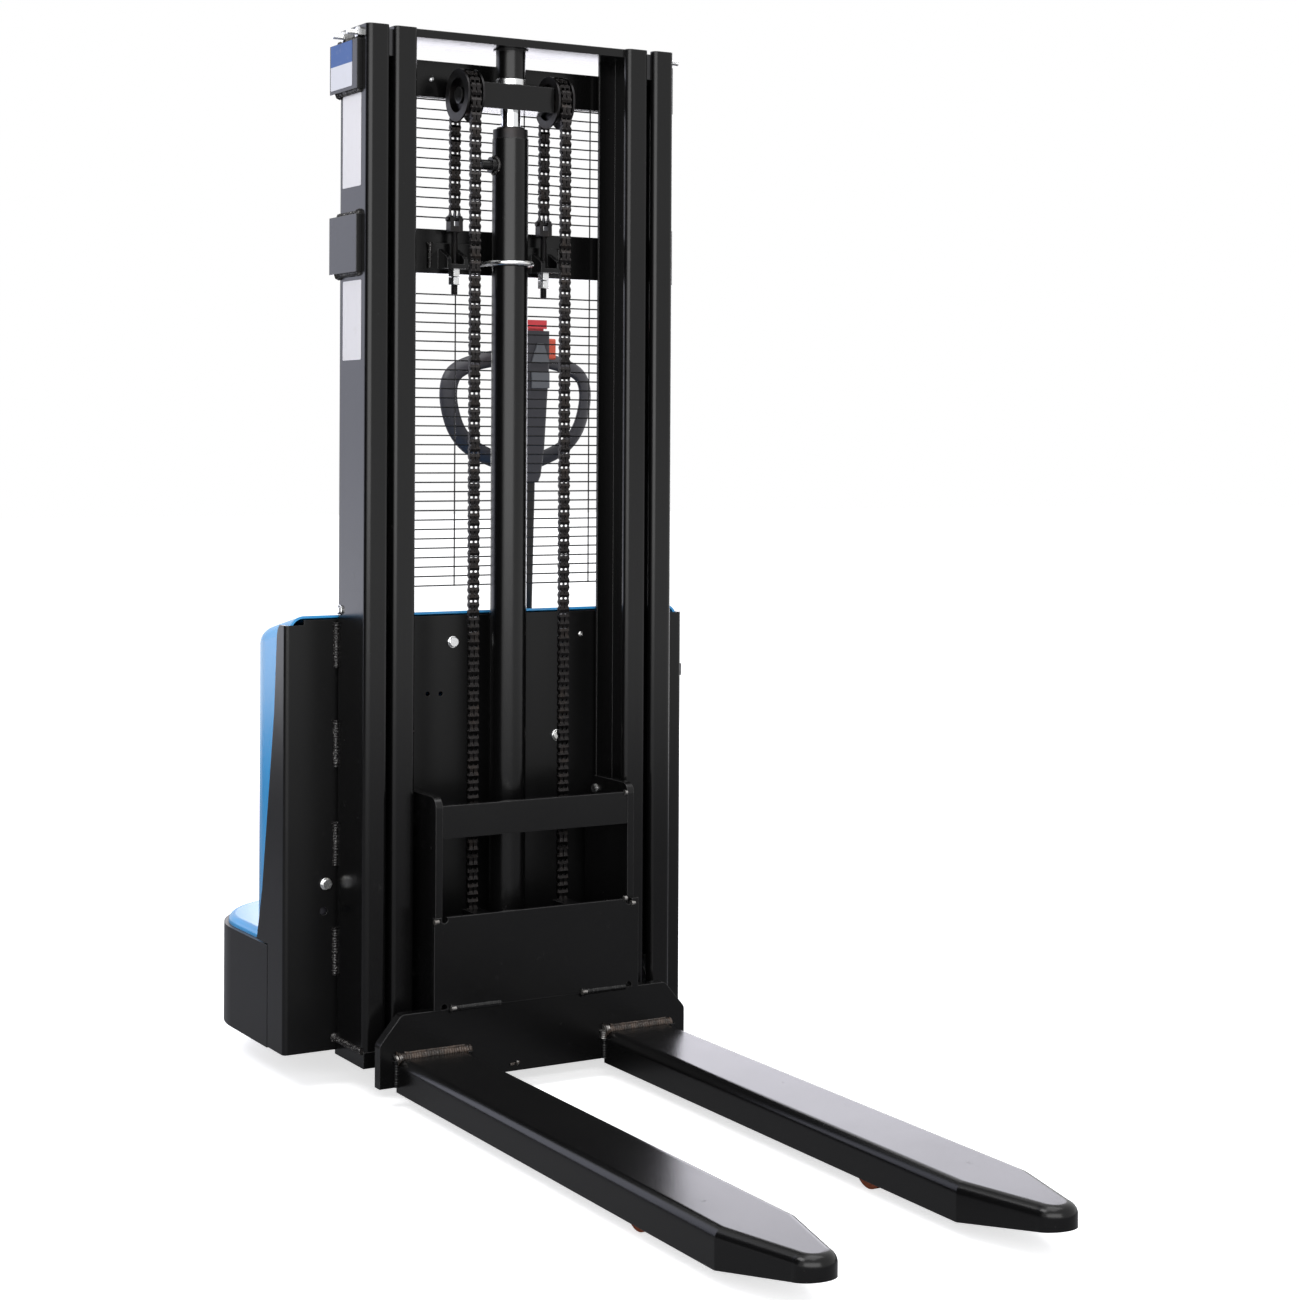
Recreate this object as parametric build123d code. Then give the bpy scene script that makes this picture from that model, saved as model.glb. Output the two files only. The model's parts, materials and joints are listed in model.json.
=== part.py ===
"""Electric walkie stacker: two-stage lift mast, fork carriage, powered chassis and tiller."""

import os

from build123d import *

# All sizes are in millimetres. X runs across the truck, -Y is the fork end and Z is up.
# Every piece is drawn with Y = 0 at the front of the outer rails and moved to the middle when saved.

# Overall layout
mast_height = 1800
fork_length = 1150
body_rear = 550
chassis_half_width = 392
running_gap = 0.3
fit_gap = 0.05

# How far a cut runs past the face that it opens
past = 1

# Outer mast
rail_outer_x = 298
rail_depth = 120
rail_flange = 42
rail_web = 10
rail_wall = 14
rail_corner = 10
rail_tip = 9
beam_bottom = 55
beam_height = 27
member_thick = 16
ear_thick = 10
ear_front = 22
ear_over = 10
upper_member_drop = 97
upper_member_height = 63
middle_member_drop = 404
middle_member_height = 77

# Inner mast
inner_depth = 114
inner_flange = 43
inner_web = 10
inner_wall = 12
inner_corner = 8
inner_tip = 9
inner_lift_gap = 6
mast_side_gap = 9.5
top_plate = 14
tie_bar_height = 37

# Pads at the top of the outer rails and their adjusters
pad_height = 45
pad_drop = 5
adjuster_radius = 5
adjuster_drop = 13
adjuster_out = 25
adjuster_nut = 17
adjuster_nut_thick = 8
adjuster_offset = 30

# Lift cylinder
tube_radius = 31.75
tube_wall = 6
gland_clear = 28
tube_floor = 18
port_drop = 47
port_radius = 9
port_length = 26
port_collar_radius = 14
port_collar_length = 8
gland_radius = 30.5
gland_height = 16
wiper_radius = 24
wiper_height = 4
rod_radius = 17.5
piston_height = 40
piston_rest = 2
sleeve_flange_radius = 30.5
sleeve_flange = 2
sleeve_radius = 26
sleeve_height = 49
washer_radius = 25
washer_height = 12
clamp_up = 15
clamp_wire = 4

# Chains, pulleys and anchors
chain_x = 88
chain_width = 16.5
chain_thick = 12
chain_pitch_radius = 40
crossbar_half = 70
crossbar_depth = 60
crossbar_height = 44
pulley_width = 32
pulley_rim = 45.5
pulley_axle = 12
pulley_flange = 3.5
pulley_spacer = 1.7
pulley_spacer_radius = 18
pulley_cap_radius = 14.5
pulley_cap_thick = 6
pulley_recess = 30
pulley_recess_depth = 9
pulley_dish = (20, 32)
pulley_dish_depth = 6
clevis_rise = 101
clevis_height = 29
clevis_width = 24
clevis_depth = 18
anchor_radius = 6
anchor_drop = 38
anchor_nut = 19
anchor_nut_thick = 14
bracket_inner = 72
bracket_outer = 112
bracket_reach = 42
bracket_thick = 8
bracket_rise = 30
bracket_front_rise = 13
bracket_corner = 5
bracket_base = (50, 127)
bracket_base_thick = 5
bracket_base_height = 46
bracket_up = 7

# Rollers of the mast and the carriage
roller_width = 26
roller_inset = 3
axle_radius = 15
axle_shoulder = 22
mast_roller_z = 130
upper_roller_z = 450
lower_roller_z = 190

# Fork carriage
fork_plate_front = 56
fork_plate_thick = 20
fork_plate_half = 293.5
fork_plate_bottom = 33
fork_plate_top = 152
fork_plate_shoulder_x = 254
fork_plate_shoulder_z = 105
fork_plate_corner = 12
cheek_outer_x = 191.3
cheek_thick = 12.7
cheek_front = 52
cheek_rear = 100
cheek_bottom = 100
cheek_top = 507
cheek_corner = 18
cheek_top_run = 34
cheek_top_fall = 77
cheek_foot_run = 40
cheek_foot_rise = 30
top_bar_z = 437
top_bar_height = 55
top_bar_thick = 12
top_bar_set_back = 1
lower_plate_half = 197
lower_plate_thick = 8
lower_plate_top = 307
lower_notch_x = 178
lower_notch_drop = 4
lower_notch_radius = 6
chain_lug_width = 28
chain_lug_height = 30
chain_lug_top = 300
chain_lug_over = 2

# Forks
fork_x = 197.5
fork_width = 131.5
fork_top = 80
fork_height = 55
fork_top_thick = 8
fork_skirt = 7
fork_edge = 16
fork_taper = 161
fork_tip_half = 33
fork_tip_round = 31
fork_tip_lift = 23
leg_notch_side = 3.5
leg_notch_top = 6

# Support legs and load rollers
leg_width = 96
leg_top = 66
leg_bottom = 25
leg_reach = 850
leg_side = 12
leg_roof = 8
leg_tongue = 60
leg_tongue_front = 40
load_roller_in = 55
load_roller_radius = 35
load_roller_side = 1
load_roller_slot = 3
load_pin = 10

# Chassis sheet metal
sheet = 5
panel_bottom = 62
panel_top = 798
panel_bend = 8
panel_foot_y = 193
panel_rear_y = 246
panel_edge_low = ((243, 8), (220, 93))
panel_edge_high = ((168.5, 162), (157, 26), (154, 17), (148, 11))
panel_top_y = 141
panel_side_drop = 8.5
panel_relief_in = 34
skirt_bottom = 60
skirt_top = 236
skirt_corner = 180
skirt_seam = 3
floor_thick = 10
lid_front = 225
lid_height = 14
lid_wall = 6
lid_round = 12
lid_hole = 70
lid_lip = 15
cover_gap = 3
cover_rear = 360
cover_corner = 130
cover_over = 7
cover_fall = 48
cover_wall = 4
cover_round = 28

# Mesh guard
mesh_half = 262
mesh_wire = 2.5
mesh_column = 135
mesh_columns = 3
mesh_row = 16.2
mesh_edge = 4
mesh_over_panel = 50
mesh_under_member = 34
mesh_over_member = 11
mesh_lap = 17
mesh_tab = 13

# Pieces under the cover
battery_size = (300, 180, 304)
battery_side = 64
battery_y = 225
terminal_radius = 12
terminal_height = 18
terminal_offset = 100
tank_size = (140, 180, 184)
tank_middle = (110, 240)
pump_radius = 55
pump_height = 180
controller_size = (140, 40, 220)
controller_x = 270
controller_drop = 398

# Drive turret and wheel
steer_x = 214
steer_y = 430
turret_radius = 60
turret_flange_radius = 66
turret_flange_thick = 10
turret_neck_radius = 45
turret_yoke_radius = 95
turret_yoke_thick = 12.7
turret_lug_gap = 30
turret_lug_thick = 12
turret_lug_half = 22
tiller_pivot_z = 345
tiller_pin = 10
gearbox_width = 38
gearbox_half = 70
gearbox_bottom = 45
wheel_radius = 105
wheel_width = 70
wheel_hub_radius = 75
wheel_hub_inset = 2
wheel_side_gap = 3
wheel_axle = 20
wheel_cap_radius = 28
wheel_cap_thick = 8

# Castor
castor_x = -230
castor_stem = 25
castor_crown_radius = 55
castor_crown_thick = 26
castor_cap_radius = 40
castor_cap_thick = 5
castor_trail = 40
castor_radius = 62.5
castor_width = 44
castor_arm_thick = 8
castor_arm_gap = 5
castor_axle = 8
castor_foot_half = 16

# Tiller
arm_half_low = 27
arm_half_middle = 21
arm_half_top = 26
arm_middle_z = 787
arm_top_z = 1025
arm_depth = 38
arm_wall = 5
arm_hollow_z = 380
arm_boss_radius = 24
arm_edge = 7
neck_half = 31.5
neck_z = 1038
head_half_low = 39
head_low_z = 1091
head_half_high = 49
head_high_z = 1252
head_top = 1316
head_depth = 64
head_edge = 7
loop_points = ((36, 1266), (70, 1259), (112, 1247), (139, 1229), (148, 1202), (143, 1157), (131, 1126),
               (106, 1097), (60, 1073), (20, 1058))
loop_wide = 17
loop_thin = 9
loop_tilt = 30
loop_back = 10

# Hand controls
belly_half = 48
belly_stem_half = 41
belly_stem_depth = 36
belly_depth = 48
belly_rise = 21
belly_stem_drop = 13
belly_travel = 4
throttle_z = 1282
throttle_back = 20
throttle_shaft = 4
throttle_wing = 14
throttle_wing_half = 6
throttle_wing_height = 40
throttle_edge = 4
button_face = 4
button_travel = 2.5
button_body = 7
button_inner = 7
button_outer = 45
triangle_low = 1255
triangle_high = 1292
triangle_lean = 13
square_low = 1206
square_high = 1238

# Switches on the chassis
key_y = 150
key_drop = 118
key_barrel = 11
key_head_radius = 15
key_head_thick = 6
key_inside = 2
key_grip = 10
key_grip_thick = 4
stop_x = -120
stop_drop = 67
stop_stem = 11
stop_head = 20
stop_head_thick = 14
stop_travel = 5

# Places of bolts, rivets and holes on the front plate, as (x, z)
bolt_places = ((-78, 751), (130, 576), (-316, 347))
bolt_size = 17
bolt_thick = 8
rivet_place = (178, 756)
rivet_radius = 5
rivet_thick = 3
small_holes = ((-126, 662), (-101, 661))
small_hole_radius = 4
large_hole = (-320, 301)
large_hole_radius = 7
side_bolt_up = 17
side_bolt_in = 16
side_bolt_size = 13

# Places that follow from the sizes above
y_shift = (fork_plate_front + fork_length - body_rear) / 2
axis_y = rail_depth / 2
rail_bottom = beam_bottom + beam_height
rail_tip_x = rail_outer_x - rail_flange
rail_channel_x = rail_outer_x - rail_web
inner_outer_x = rail_tip_x - mast_side_gap
inner_tip_x = inner_outer_x - inner_flange
inner_channel_x = inner_outer_x - inner_web
inner_front = (rail_depth - inner_depth) / 2
inner_back = rail_depth - inner_front
inner_bottom = rail_bottom + inner_lift_gap
ear_outer_x = rail_outer_x + ear_thick
upper_member_z = mast_height - upper_member_drop
middle_member_z = mast_height - middle_member_drop
middle_member_top = middle_member_z + middle_member_height
member_back = rail_depth + member_thick
top_plate_under = mast_height - top_plate
rod_end = top_plate_under - sleeve_flange - sleeve_height - washer_height
pulley_z = rod_end - crossbar_height / 2
tube_top = rod_end - crossbar_height - gland_clear - wiper_height - gland_height
port_z = tube_top - port_drop
clamp_z = middle_member_z + clamp_up
clevis_top = middle_member_z + clevis_rise
anchor_end = middle_member_z - anchor_drop
chain_inner = chain_pitch_radius - chain_thick / 2
chain_outer = chain_pitch_radius + chain_thick / 2
clevis_bottom = clevis_top - clevis_height
mast_roller_radius = axis_y - rail_wall - running_gap
carriage_roller_radius = axis_y - inner_front - inner_wall - running_gap
cheek_inner_x = cheek_outer_x - cheek_thick
fork_plate_rear = fork_plate_front - fork_plate_thick
fork_bottom = fork_top - fork_height
load_roller_y = leg_reach - load_roller_in
plate_back = rail_depth + sheet
floor_bottom = skirt_top - floor_thick
lid_top = skirt_top + lid_height
cover_half = chassis_half_width - sheet - cover_gap
panel_relief_x = chassis_half_width - panel_relief_in
cover_top_front = panel_top + cover_over
cover_top_rear = cover_top_front - cover_fall
key_z = panel_top - key_drop
stop_z = cover_top_rear - stop_drop
side_bolt_z = panel_top + side_bolt_up
controller_z = panel_top - controller_drop
battery_x = battery_side + battery_size[0] / 2 - cover_half
mesh_lower = (panel_top + mesh_over_panel, middle_member_z - mesh_under_member)
mesh_upper = (middle_member_top + mesh_over_member, upper_member_z + mesh_lap)
turret_under = floor_bottom - running_gap
floor_over = skirt_top + running_gap
head_front = steer_y - head_depth / 2


def middle(pair):
    """Middle of a (low, high) pair."""
    return (pair[0] + pair[1]) / 2


def extent(pair):
    """Length of a (low, high) pair."""
    return pair[1] - pair[0]


def around(centre, half):
    """Pair that lies evenly round a centre."""
    return (centre - half, centre + half)


def block(x, y, z):
    """Box between three (low, high) pairs."""
    place = Pos(middle(x), middle(y), middle(z))
    return place * Box(extent(x), extent(y), extent(z))


def post(x, y, z, radius):
    """Round bar along Z, with z as a (low, high) pair."""
    return Pos(x, y, middle(z)) * Cylinder(radius, extent(z))


def bar_x(x, y, z, radius):
    """Round bar along X, with x as a (low, high) pair."""
    return Pos(middle(x), y, z) * Rot(0, 90, 0) * Cylinder(radius, extent(x))


def bar_y(x, y, z, radius):
    """Round bar along Y, with y as a (low, high) pair."""
    return Pos(x, middle(y), z) * Rot(90, 0, 0) * Cylinder(radius, extent(y))


def hexagon_x(x, y, z, flats):
    """Hexagon nut along X, with x as a (low, high) pair."""
    plane = Plane(origin=(x[0], y, z), x_dir=(0, 1, 0), z_dir=(1, 0, 0))
    return extrude(plane * RegularPolygon(flats / 2, 6, major_radius=False), extent(x))


def hexagon_y(x, y, z, flats):
    """Hexagon nut along Y, with y as a (low, high) pair."""
    plane = Plane(origin=(x, y[1], z), x_dir=(1, 0, 0), z_dir=(0, -1, 0))
    return extrude(plane * RegularPolygon(flats / 2, 6, major_radius=False), extent(y))


def hexagon_z(x, y, z, flats):
    """Hexagon nut along Z, with z as a (low, high) pair."""
    return extrude(Pos(x, y, z[0]) * RegularPolygon(flats / 2, 6, major_radius=False), extent(z))


def plate_yz(points, x):
    """Plate with a (y, z) outline, between the x pair."""
    plane = Plane(origin=(x[0], 0, 0), x_dir=(0, 1, 0), z_dir=(1, 0, 0))
    return extrude(plane * make_face(Polyline(*points, close=True)), extent(x))


def plate_xz(points, y):
    """Plate with an (x, z) outline, between the y pair."""
    plane = Plane(origin=(0, y[1], 0), x_dir=(1, 0, 0), z_dir=(0, -1, 0))
    return extrude(plane * make_face(Polyline(*points, close=True)), extent(y))


def plan(half, y, radius, z):
    """Upright block with its two rear corners rounded."""
    body = block(around(0, half), y, z)
    corners = body.edges().filter_by(Axis.Z).group_by(Axis.Y)[-1]
    return fillet(corners, radius)


def ring_x(x, y, z, outer, inner):
    """Ring around an axis along X."""
    return bar_x(x, y, z, outer) - bar_x((x[0] - past, x[1] + past), y, z, inner)


def other_side(shape):
    """The same piece on the -X side."""
    return mirror(shape, about=Plane.YZ)


def both_sides(shape):
    """A piece and its mirror image, as one node of separate solids."""
    return Compound(children=[*shape.solids(), *other_side(shape).solids()])


def channel(outer_x, flange, web, y, wall, z, corner, tip):
    """Upright channel on the +X side, web outwards, with rounded outer edges."""
    body = block((outer_x - flange, outer_x), y, z)
    inside_x = (outer_x - flange - past, outer_x - web)
    inside_y = (y[0] + wall, y[1] - wall)
    body -= block(inside_x, inside_y, (z[0] - past, z[1] + past))
    corners = body.edges().filter_by(Axis.Z).group_by(Axis.X)[-1]
    body = fillet(corners, corner)
    tips = body.edges().filter_by(Axis.Z).group_by(Axis.X)[0].sort_by(Axis.Y)
    return fillet([tips[0], tips[-1]], tip)


def save(name, shape):
    """Write one node, moved so that the truck's length is centred on Y = 0."""
    export_step(Pos(0, y_shift, 0) * shape, os.path.join("parts", name + ".step"))


def save_pair(name, shape):
    """Write a +X piece as NAME_right and its mirror image as NAME_left."""
    save(name + "_right", shape)
    save(name + "_left", other_side(shape))


def adjuster_places():
    """Y places of the two pad adjusters of a rail."""
    return around(axis_y, adjuster_offset)


def outer_rail():
    """Outer mast rail with holes for the pad adjusters."""
    rail = channel(rail_outer_x, rail_flange, rail_web, (0, rail_depth), rail_wall,
                   (rail_bottom, mast_height), rail_corner, rail_tip)
    hole_x = (rail_channel_x - past, rail_outer_x + past)
    for y in adjuster_places():
        rail -= bar_x(hole_x, y, mast_height - adjuster_drop, adjuster_radius + fit_gap)
    return rail


def base_beam():
    """Cross beam that joins the feet of the outer rails."""
    return block(around(0, rail_outer_x), (0, rail_depth), (beam_bottom, rail_bottom))


def cross_member(z):
    """Cross plate behind the outer rails with an ear round each rail."""
    member = block(around(0, ear_outer_x), (rail_depth, member_back), z)
    ear_z = (z[0] - ear_over, z[1] + ear_over)
    ear = block((rail_outer_x, ear_outer_x), (ear_front, member_back), ear_z)
    return member + ear + other_side(ear)


def chain_bracket():
    """Bracket on the middle cross member that holds one chain anchor."""
    y = (rail_depth - bracket_reach, rail_depth)
    seat = middle_member_z + bracket_up
    shelf = block((bracket_inner, bracket_outer), y, (seat, seat + bracket_thick))
    top = seat + bracket_thick
    front_top = top + bracket_front_rise
    gusset = [(y[0], top), (y[1], top), (y[1], top + bracket_rise), (y[0] + bracket_corner, front_top),
              (y[0], front_top - bracket_corner)]
    shelf += block(bracket_base, (y[1] - bracket_base_thick, y[1]), (seat, seat + bracket_base_height))
    shelf += plate_yz(gusset, (bracket_inner, bracket_inner + bracket_thick))
    shelf += plate_yz(gusset, (bracket_outer - bracket_thick, bracket_outer))
    hole_y = axis_y + chain_pitch_radius
    return shelf - post(chain_x, hole_y, (seat - past, top + past), anchor_radius + fit_gap)


def chain_anchor():
    """Clevis, threaded rod and two nuts of one chain end."""
    y = axis_y + chain_pitch_radius
    seat = middle_member_z + bracket_up
    half = clevis_width / 2
    anchor = block(around(chain_x, half), around(y, clevis_depth / 2),
                   (clevis_bottom, clevis_top))
    anchor += post(chain_x, y, (anchor_end, clevis_bottom), anchor_radius)
    anchor += hexagon_z(chain_x, y, (seat - 2 * anchor_nut_thick, seat), anchor_nut)
    return anchor


def body_frame():
    """Front plate and side panels, bent from one sheet."""
    tall = (panel_bottom, panel_top)
    outer = block(around(0, chassis_half_width), (rail_depth, panel_rear_y), tall)
    outer = fillet(outer.edges().filter_by(Axis.Z).group_by(Axis.Y)[0], panel_bend)
    inside_half = chassis_half_width - sheet
    inner = block(around(0, inside_half), (plate_back, panel_rear_y + past),
                  (panel_bottom - past, panel_top + past))
    inner = fillet(inner.edges().filter_by(Axis.Z).group_by(Axis.Y)[0], panel_bend - sheet)
    ledge = skirt_top + skirt_seam
    outline = [(rail_depth - past, panel_bottom), (panel_foot_y, panel_bottom), (panel_foot_y, ledge),
               (panel_rear_y, ledge)]
    outline += [(y, skirt_top + up) for y, up in panel_edge_low]
    outline += [(y, panel_top - down) for y, down in panel_edge_high]
    outline += [(panel_top_y, panel_top), (rail_depth - past, panel_top)]
    wide = chassis_half_width + past
    frame = (outer - inner) & plate_yz(outline, around(0, wide))
    side_top = panel_top - panel_side_drop
    relief = block((panel_relief_x, wide), (rail_depth - past, panel_rear_y), (side_top, panel_top + past))
    frame -= both_sides(relief)
    through = (rail_depth - past, plate_back + past)
    for x, z in small_holes:
        frame -= bar_y(x, through, z, small_hole_radius)
    frame -= bar_y(large_hole[0], through, large_hole[1], large_hole_radius)
    frame -= bar_x((inside_half - past, wide), key_y, key_z, key_barrel + fit_gap)
    return frame


def zinc_fasteners():
    """Pad adjusters with their nuts, plate bolts, a rivet and a small bolt on each rail."""
    pieces = []
    z = mast_height - adjuster_drop
    for y in adjuster_places():
        stud = bar_x((rail_channel_x, rail_outer_x + adjuster_out), y, z, adjuster_radius)
        stud += hexagon_x((rail_outer_x, rail_outer_x + adjuster_nut_thick), y, z, adjuster_nut)
        pieces += [stud, other_side(stud)]
    side_y = rail_depth - side_bolt_in
    side_bolt = hexagon_x((rail_outer_x, rail_outer_x + bolt_thick), side_y, side_bolt_z, side_bolt_size)
    pieces += [side_bolt, other_side(side_bolt)]
    for x, z in bolt_places:
        pieces.append(hexagon_y(x, (rail_depth - bolt_thick, rail_depth), z, bolt_size))
    pieces.append(bar_y(rivet_place[0], (rail_depth - rivet_thick, rail_depth), rivet_place[1], rivet_radius))
    return Compound(children=[solid for piece in pieces for solid in piece.solids()])


def slide_pads():
    """Pads in the tops of the outer rails that guide the inner rails."""
    z = (mast_height - pad_drop - pad_height, mast_height - pad_drop)
    y = (rail_wall, rail_depth - rail_wall)
    return both_sides(block((inner_outer_x + running_gap, rail_channel_x), y, z))


def cylinder_tube():
    """Lift cylinder tube with a closed foot and a port."""
    tube = post(0, axis_y, (rail_bottom, tube_top), tube_radius)
    tube += bar_x((-tube_radius - port_length, 0), axis_y, port_z, port_radius)
    tube += bar_x((-tube_radius - port_collar_length, 0), axis_y, port_z, port_collar_radius)
    return tube - post(0, axis_y, (rail_bottom + tube_floor, tube_top + past), tube_radius - tube_wall)


def cylinder_gland():
    """Gland and wiper ring that close the tube round the rod."""
    top = tube_top + gland_height
    gland = post(0, axis_y, (tube_top, top), gland_radius)
    gland += post(0, axis_y, (top, top + wiper_height), wiper_radius)
    return gland - post(0, axis_y, (tube_top - past, top + wiper_height + past), rod_radius + fit_gap)


def cylinder_clamp():
    """U-bolt round the tube, held on the middle cross member."""
    loop = tube_radius + running_gap + clamp_wire
    path = Line((-loop, rail_depth, clamp_z), (-loop, axis_y, clamp_z))
    path += CenterArc((0, axis_y, clamp_z), loop, 180, 180)
    path += Line((loop, axis_y, clamp_z), (loop, rail_depth, clamp_z))
    start = Plane(origin=(-loop, rail_depth, clamp_z), z_dir=(0, -1, 0))
    return sweep(start * Circle(clamp_wire), path=path)


def piston_rod():
    """Chrome rod with the piston at its foot."""
    foot = rail_bottom + tube_floor + piston_rest
    rod = post(0, axis_y, (foot, rod_end), rod_radius)
    return rod + post(0, axis_y, (foot, foot + piston_height), tube_radius - tube_wall - running_gap)


def rod_sleeve():
    """Washer, sleeve and flange between the rod and the top plate."""
    body_z = rod_end + washer_height
    sleeve = post(0, axis_y, (rod_end, body_z), washer_radius)
    sleeve += post(0, axis_y, (body_z, body_z + sleeve_height), sleeve_radius)
    return sleeve + post(0, axis_y, (body_z + sleeve_height, top_plate_under), sleeve_flange_radius)


def pulley_crossbar():
    """Crossbar on the rod with an axle for a pulley at each end."""
    y = around(axis_y, crossbar_depth / 2)
    bar = block(around(0, crossbar_half), y, (rod_end - crossbar_height, rod_end))
    bar -= post(0, axis_y, (rod_end - crossbar_height - past, rod_end + past), rod_radius + fit_gap)
    cap = chain_x + pulley_width / 2 - pulley_recess_depth + running_gap
    axle = bar_x((crossbar_half, cap), axis_y, pulley_z, pulley_axle)
    axle += bar_x((crossbar_half, crossbar_half + pulley_spacer), axis_y, pulley_z, pulley_spacer_radius)
    axle += bar_x((cap, cap + pulley_cap_thick), axis_y, pulley_z, pulley_cap_radius)
    return bar + axle + other_side(axle)


def chain_pulley():
    """Grooved pulley that turns the chain over the top."""
    half = pulley_width / 2
    pulley = bar_x(around(chain_x, half), axis_y, pulley_z, pulley_rim)
    pulley -= ring_x(around(chain_x, half - pulley_flange), axis_y, pulley_z, pulley_rim + past,
                     chain_inner - running_gap)
    inner, outer = around(chain_x, half)
    dish = (inner - past, inner + pulley_dish_depth)
    pulley -= ring_x(dish, axis_y, pulley_z, pulley_dish[1], pulley_dish[0])
    pulley -= bar_x((outer - pulley_recess_depth, outer + past), axis_y, pulley_z, pulley_recess)
    return pulley - bar_x(around(chain_x, half + past), axis_y, pulley_z, pulley_axle + fit_gap)


def chain_run(y, z):
    """Straight run of one chain."""
    half = chain_width / 2
    return block(around(chain_x, half), around(y, chain_thick / 2), z)


def chain_wrap():
    """Half turn of one chain over its pulley."""
    half = chain_width / 2
    wrap = ring_x(around(chain_x, half), axis_y, pulley_z, chain_outer, chain_inner)
    low = block((0, rail_outer_x), (0, rail_depth), (pulley_z - 2 * chain_outer, pulley_z))
    return wrap - low


def inner_rail():
    """Inner mast rail with the axle of its roller."""
    rail = channel(inner_outer_x, inner_flange, inner_web, (inner_front, inner_back), inner_wall,
                   (inner_bottom, mast_height), inner_corner, inner_tip)
    end = rail_channel_x - roller_inset
    rail += bar_x((inner_outer_x, end), axis_y, mast_roller_z, axle_radius)
    shoulder = end - roller_width - running_gap
    return rail + bar_x((inner_outer_x, shoulder), axis_y, mast_roller_z, axle_shoulder)


def inner_mast_ties():
    """Top plate and lower tie bar of the inner mast."""
    inside = (inner_front + inner_wall, inner_back - inner_wall)
    top = block(around(0, inner_channel_x), inside, (top_plate_under, mast_height))
    back = (inner_back - inner_wall, inner_back)
    top += block(around(0, inner_tip_x), back, (top_plate_under, mast_height))
    bar = block(around(0, inner_tip_x), back, (inner_bottom, inner_bottom + tie_bar_height))
    return Compound(children=[*top.solids(), *bar.solids()])


def roller(outer_end, z, radius):
    """Roller on a stub axle, with its outer face at outer_end."""
    x = (outer_end - roller_width, outer_end)
    return ring_x(x, axis_y, z, radius, axle_radius + fit_gap)


def carriage_cheek():
    """Carriage side plate with two roller axles."""
    outline = [(-cheek_front, fork_plate_top), (-cheek_front, cheek_top),
               (cheek_rear - cheek_top_run, cheek_top),
               (cheek_rear, cheek_top - cheek_top_fall), (cheek_rear, cheek_bottom + cheek_foot_rise),
               (cheek_rear - cheek_foot_run, cheek_bottom),
               (-fork_plate_rear, cheek_bottom), (-fork_plate_rear, fork_plate_top)]
    cheek = plate_yz(outline, (cheek_inner_x, cheek_outer_x))
    front = cheek.edges().filter_by(Axis.X).group_by(Axis.Z)[-1].sort_by(Axis.Y)[0]
    cheek = fillet(front, cheek_corner)
    end = inner_channel_x - roller_inset
    shoulder = end - roller_width - running_gap
    for z in (upper_roller_z, lower_roller_z):
        cheek += bar_x((cheek_outer_x, end), axis_y, z, axle_radius)
        cheek += bar_x((cheek_outer_x, shoulder), axis_y, z, axle_shoulder)
    return cheek


def carriage_top_bar():
    """Bar between the cheeks near their tops."""
    front = top_bar_set_back - cheek_front
    z = (top_bar_z, top_bar_z + top_bar_height)
    return block(around(0, cheek_inner_x), (front, front + top_bar_thick), z)


def carriage_lower_plate():
    """Plate across the cheeks with the two chain lugs behind it."""
    plate = block(around(0, lower_plate_half), (-cheek_front - lower_plate_thick, -cheek_front),
                  (fork_plate_top, lower_plate_top))
    through = (-cheek_front - lower_plate_thick - past, -cheek_front + past)
    for z in (lower_plate_top - lower_notch_drop, fork_plate_top + lower_notch_drop):
        plate -= both_sides(bar_y(lower_notch_x, through, z, lower_notch_radius))
    half = chain_lug_width / 2
    reach = axis_y - chain_inner + chain_lug_over
    lug = block(around(chain_x, half), (-cheek_front, reach),
                (chain_lug_top - chain_lug_height, chain_lug_top))
    return plate + lug + other_side(lug)


def fork_plate():
    """Thick plate that carries the forks, with round shoulders, notched over the support legs."""
    half = fork_plate_half
    outline = [(-half, fork_plate_bottom), (half, fork_plate_bottom), (half, fork_plate_shoulder_z),
               (fork_plate_shoulder_x, fork_plate_top), (-fork_plate_shoulder_x, fork_plate_top),
               (-half, fork_plate_shoulder_z)]
    plate = plate_xz(outline, (-fork_plate_front, -fork_plate_rear))
    shoulders = plate.edges().filter_by(Axis.Y).sort_by(Axis.Z)[2:]
    plate = fillet(shoulders, fork_plate_corner)
    notch_half = fork_width / 2 - fork_skirt - leg_notch_side
    notch = block(around(fork_x, notch_half), (-fork_plate_front - past, past - fork_plate_rear),
                  (fork_plate_bottom - past, leg_top + leg_notch_top))
    return plate - notch - other_side(notch)


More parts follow.
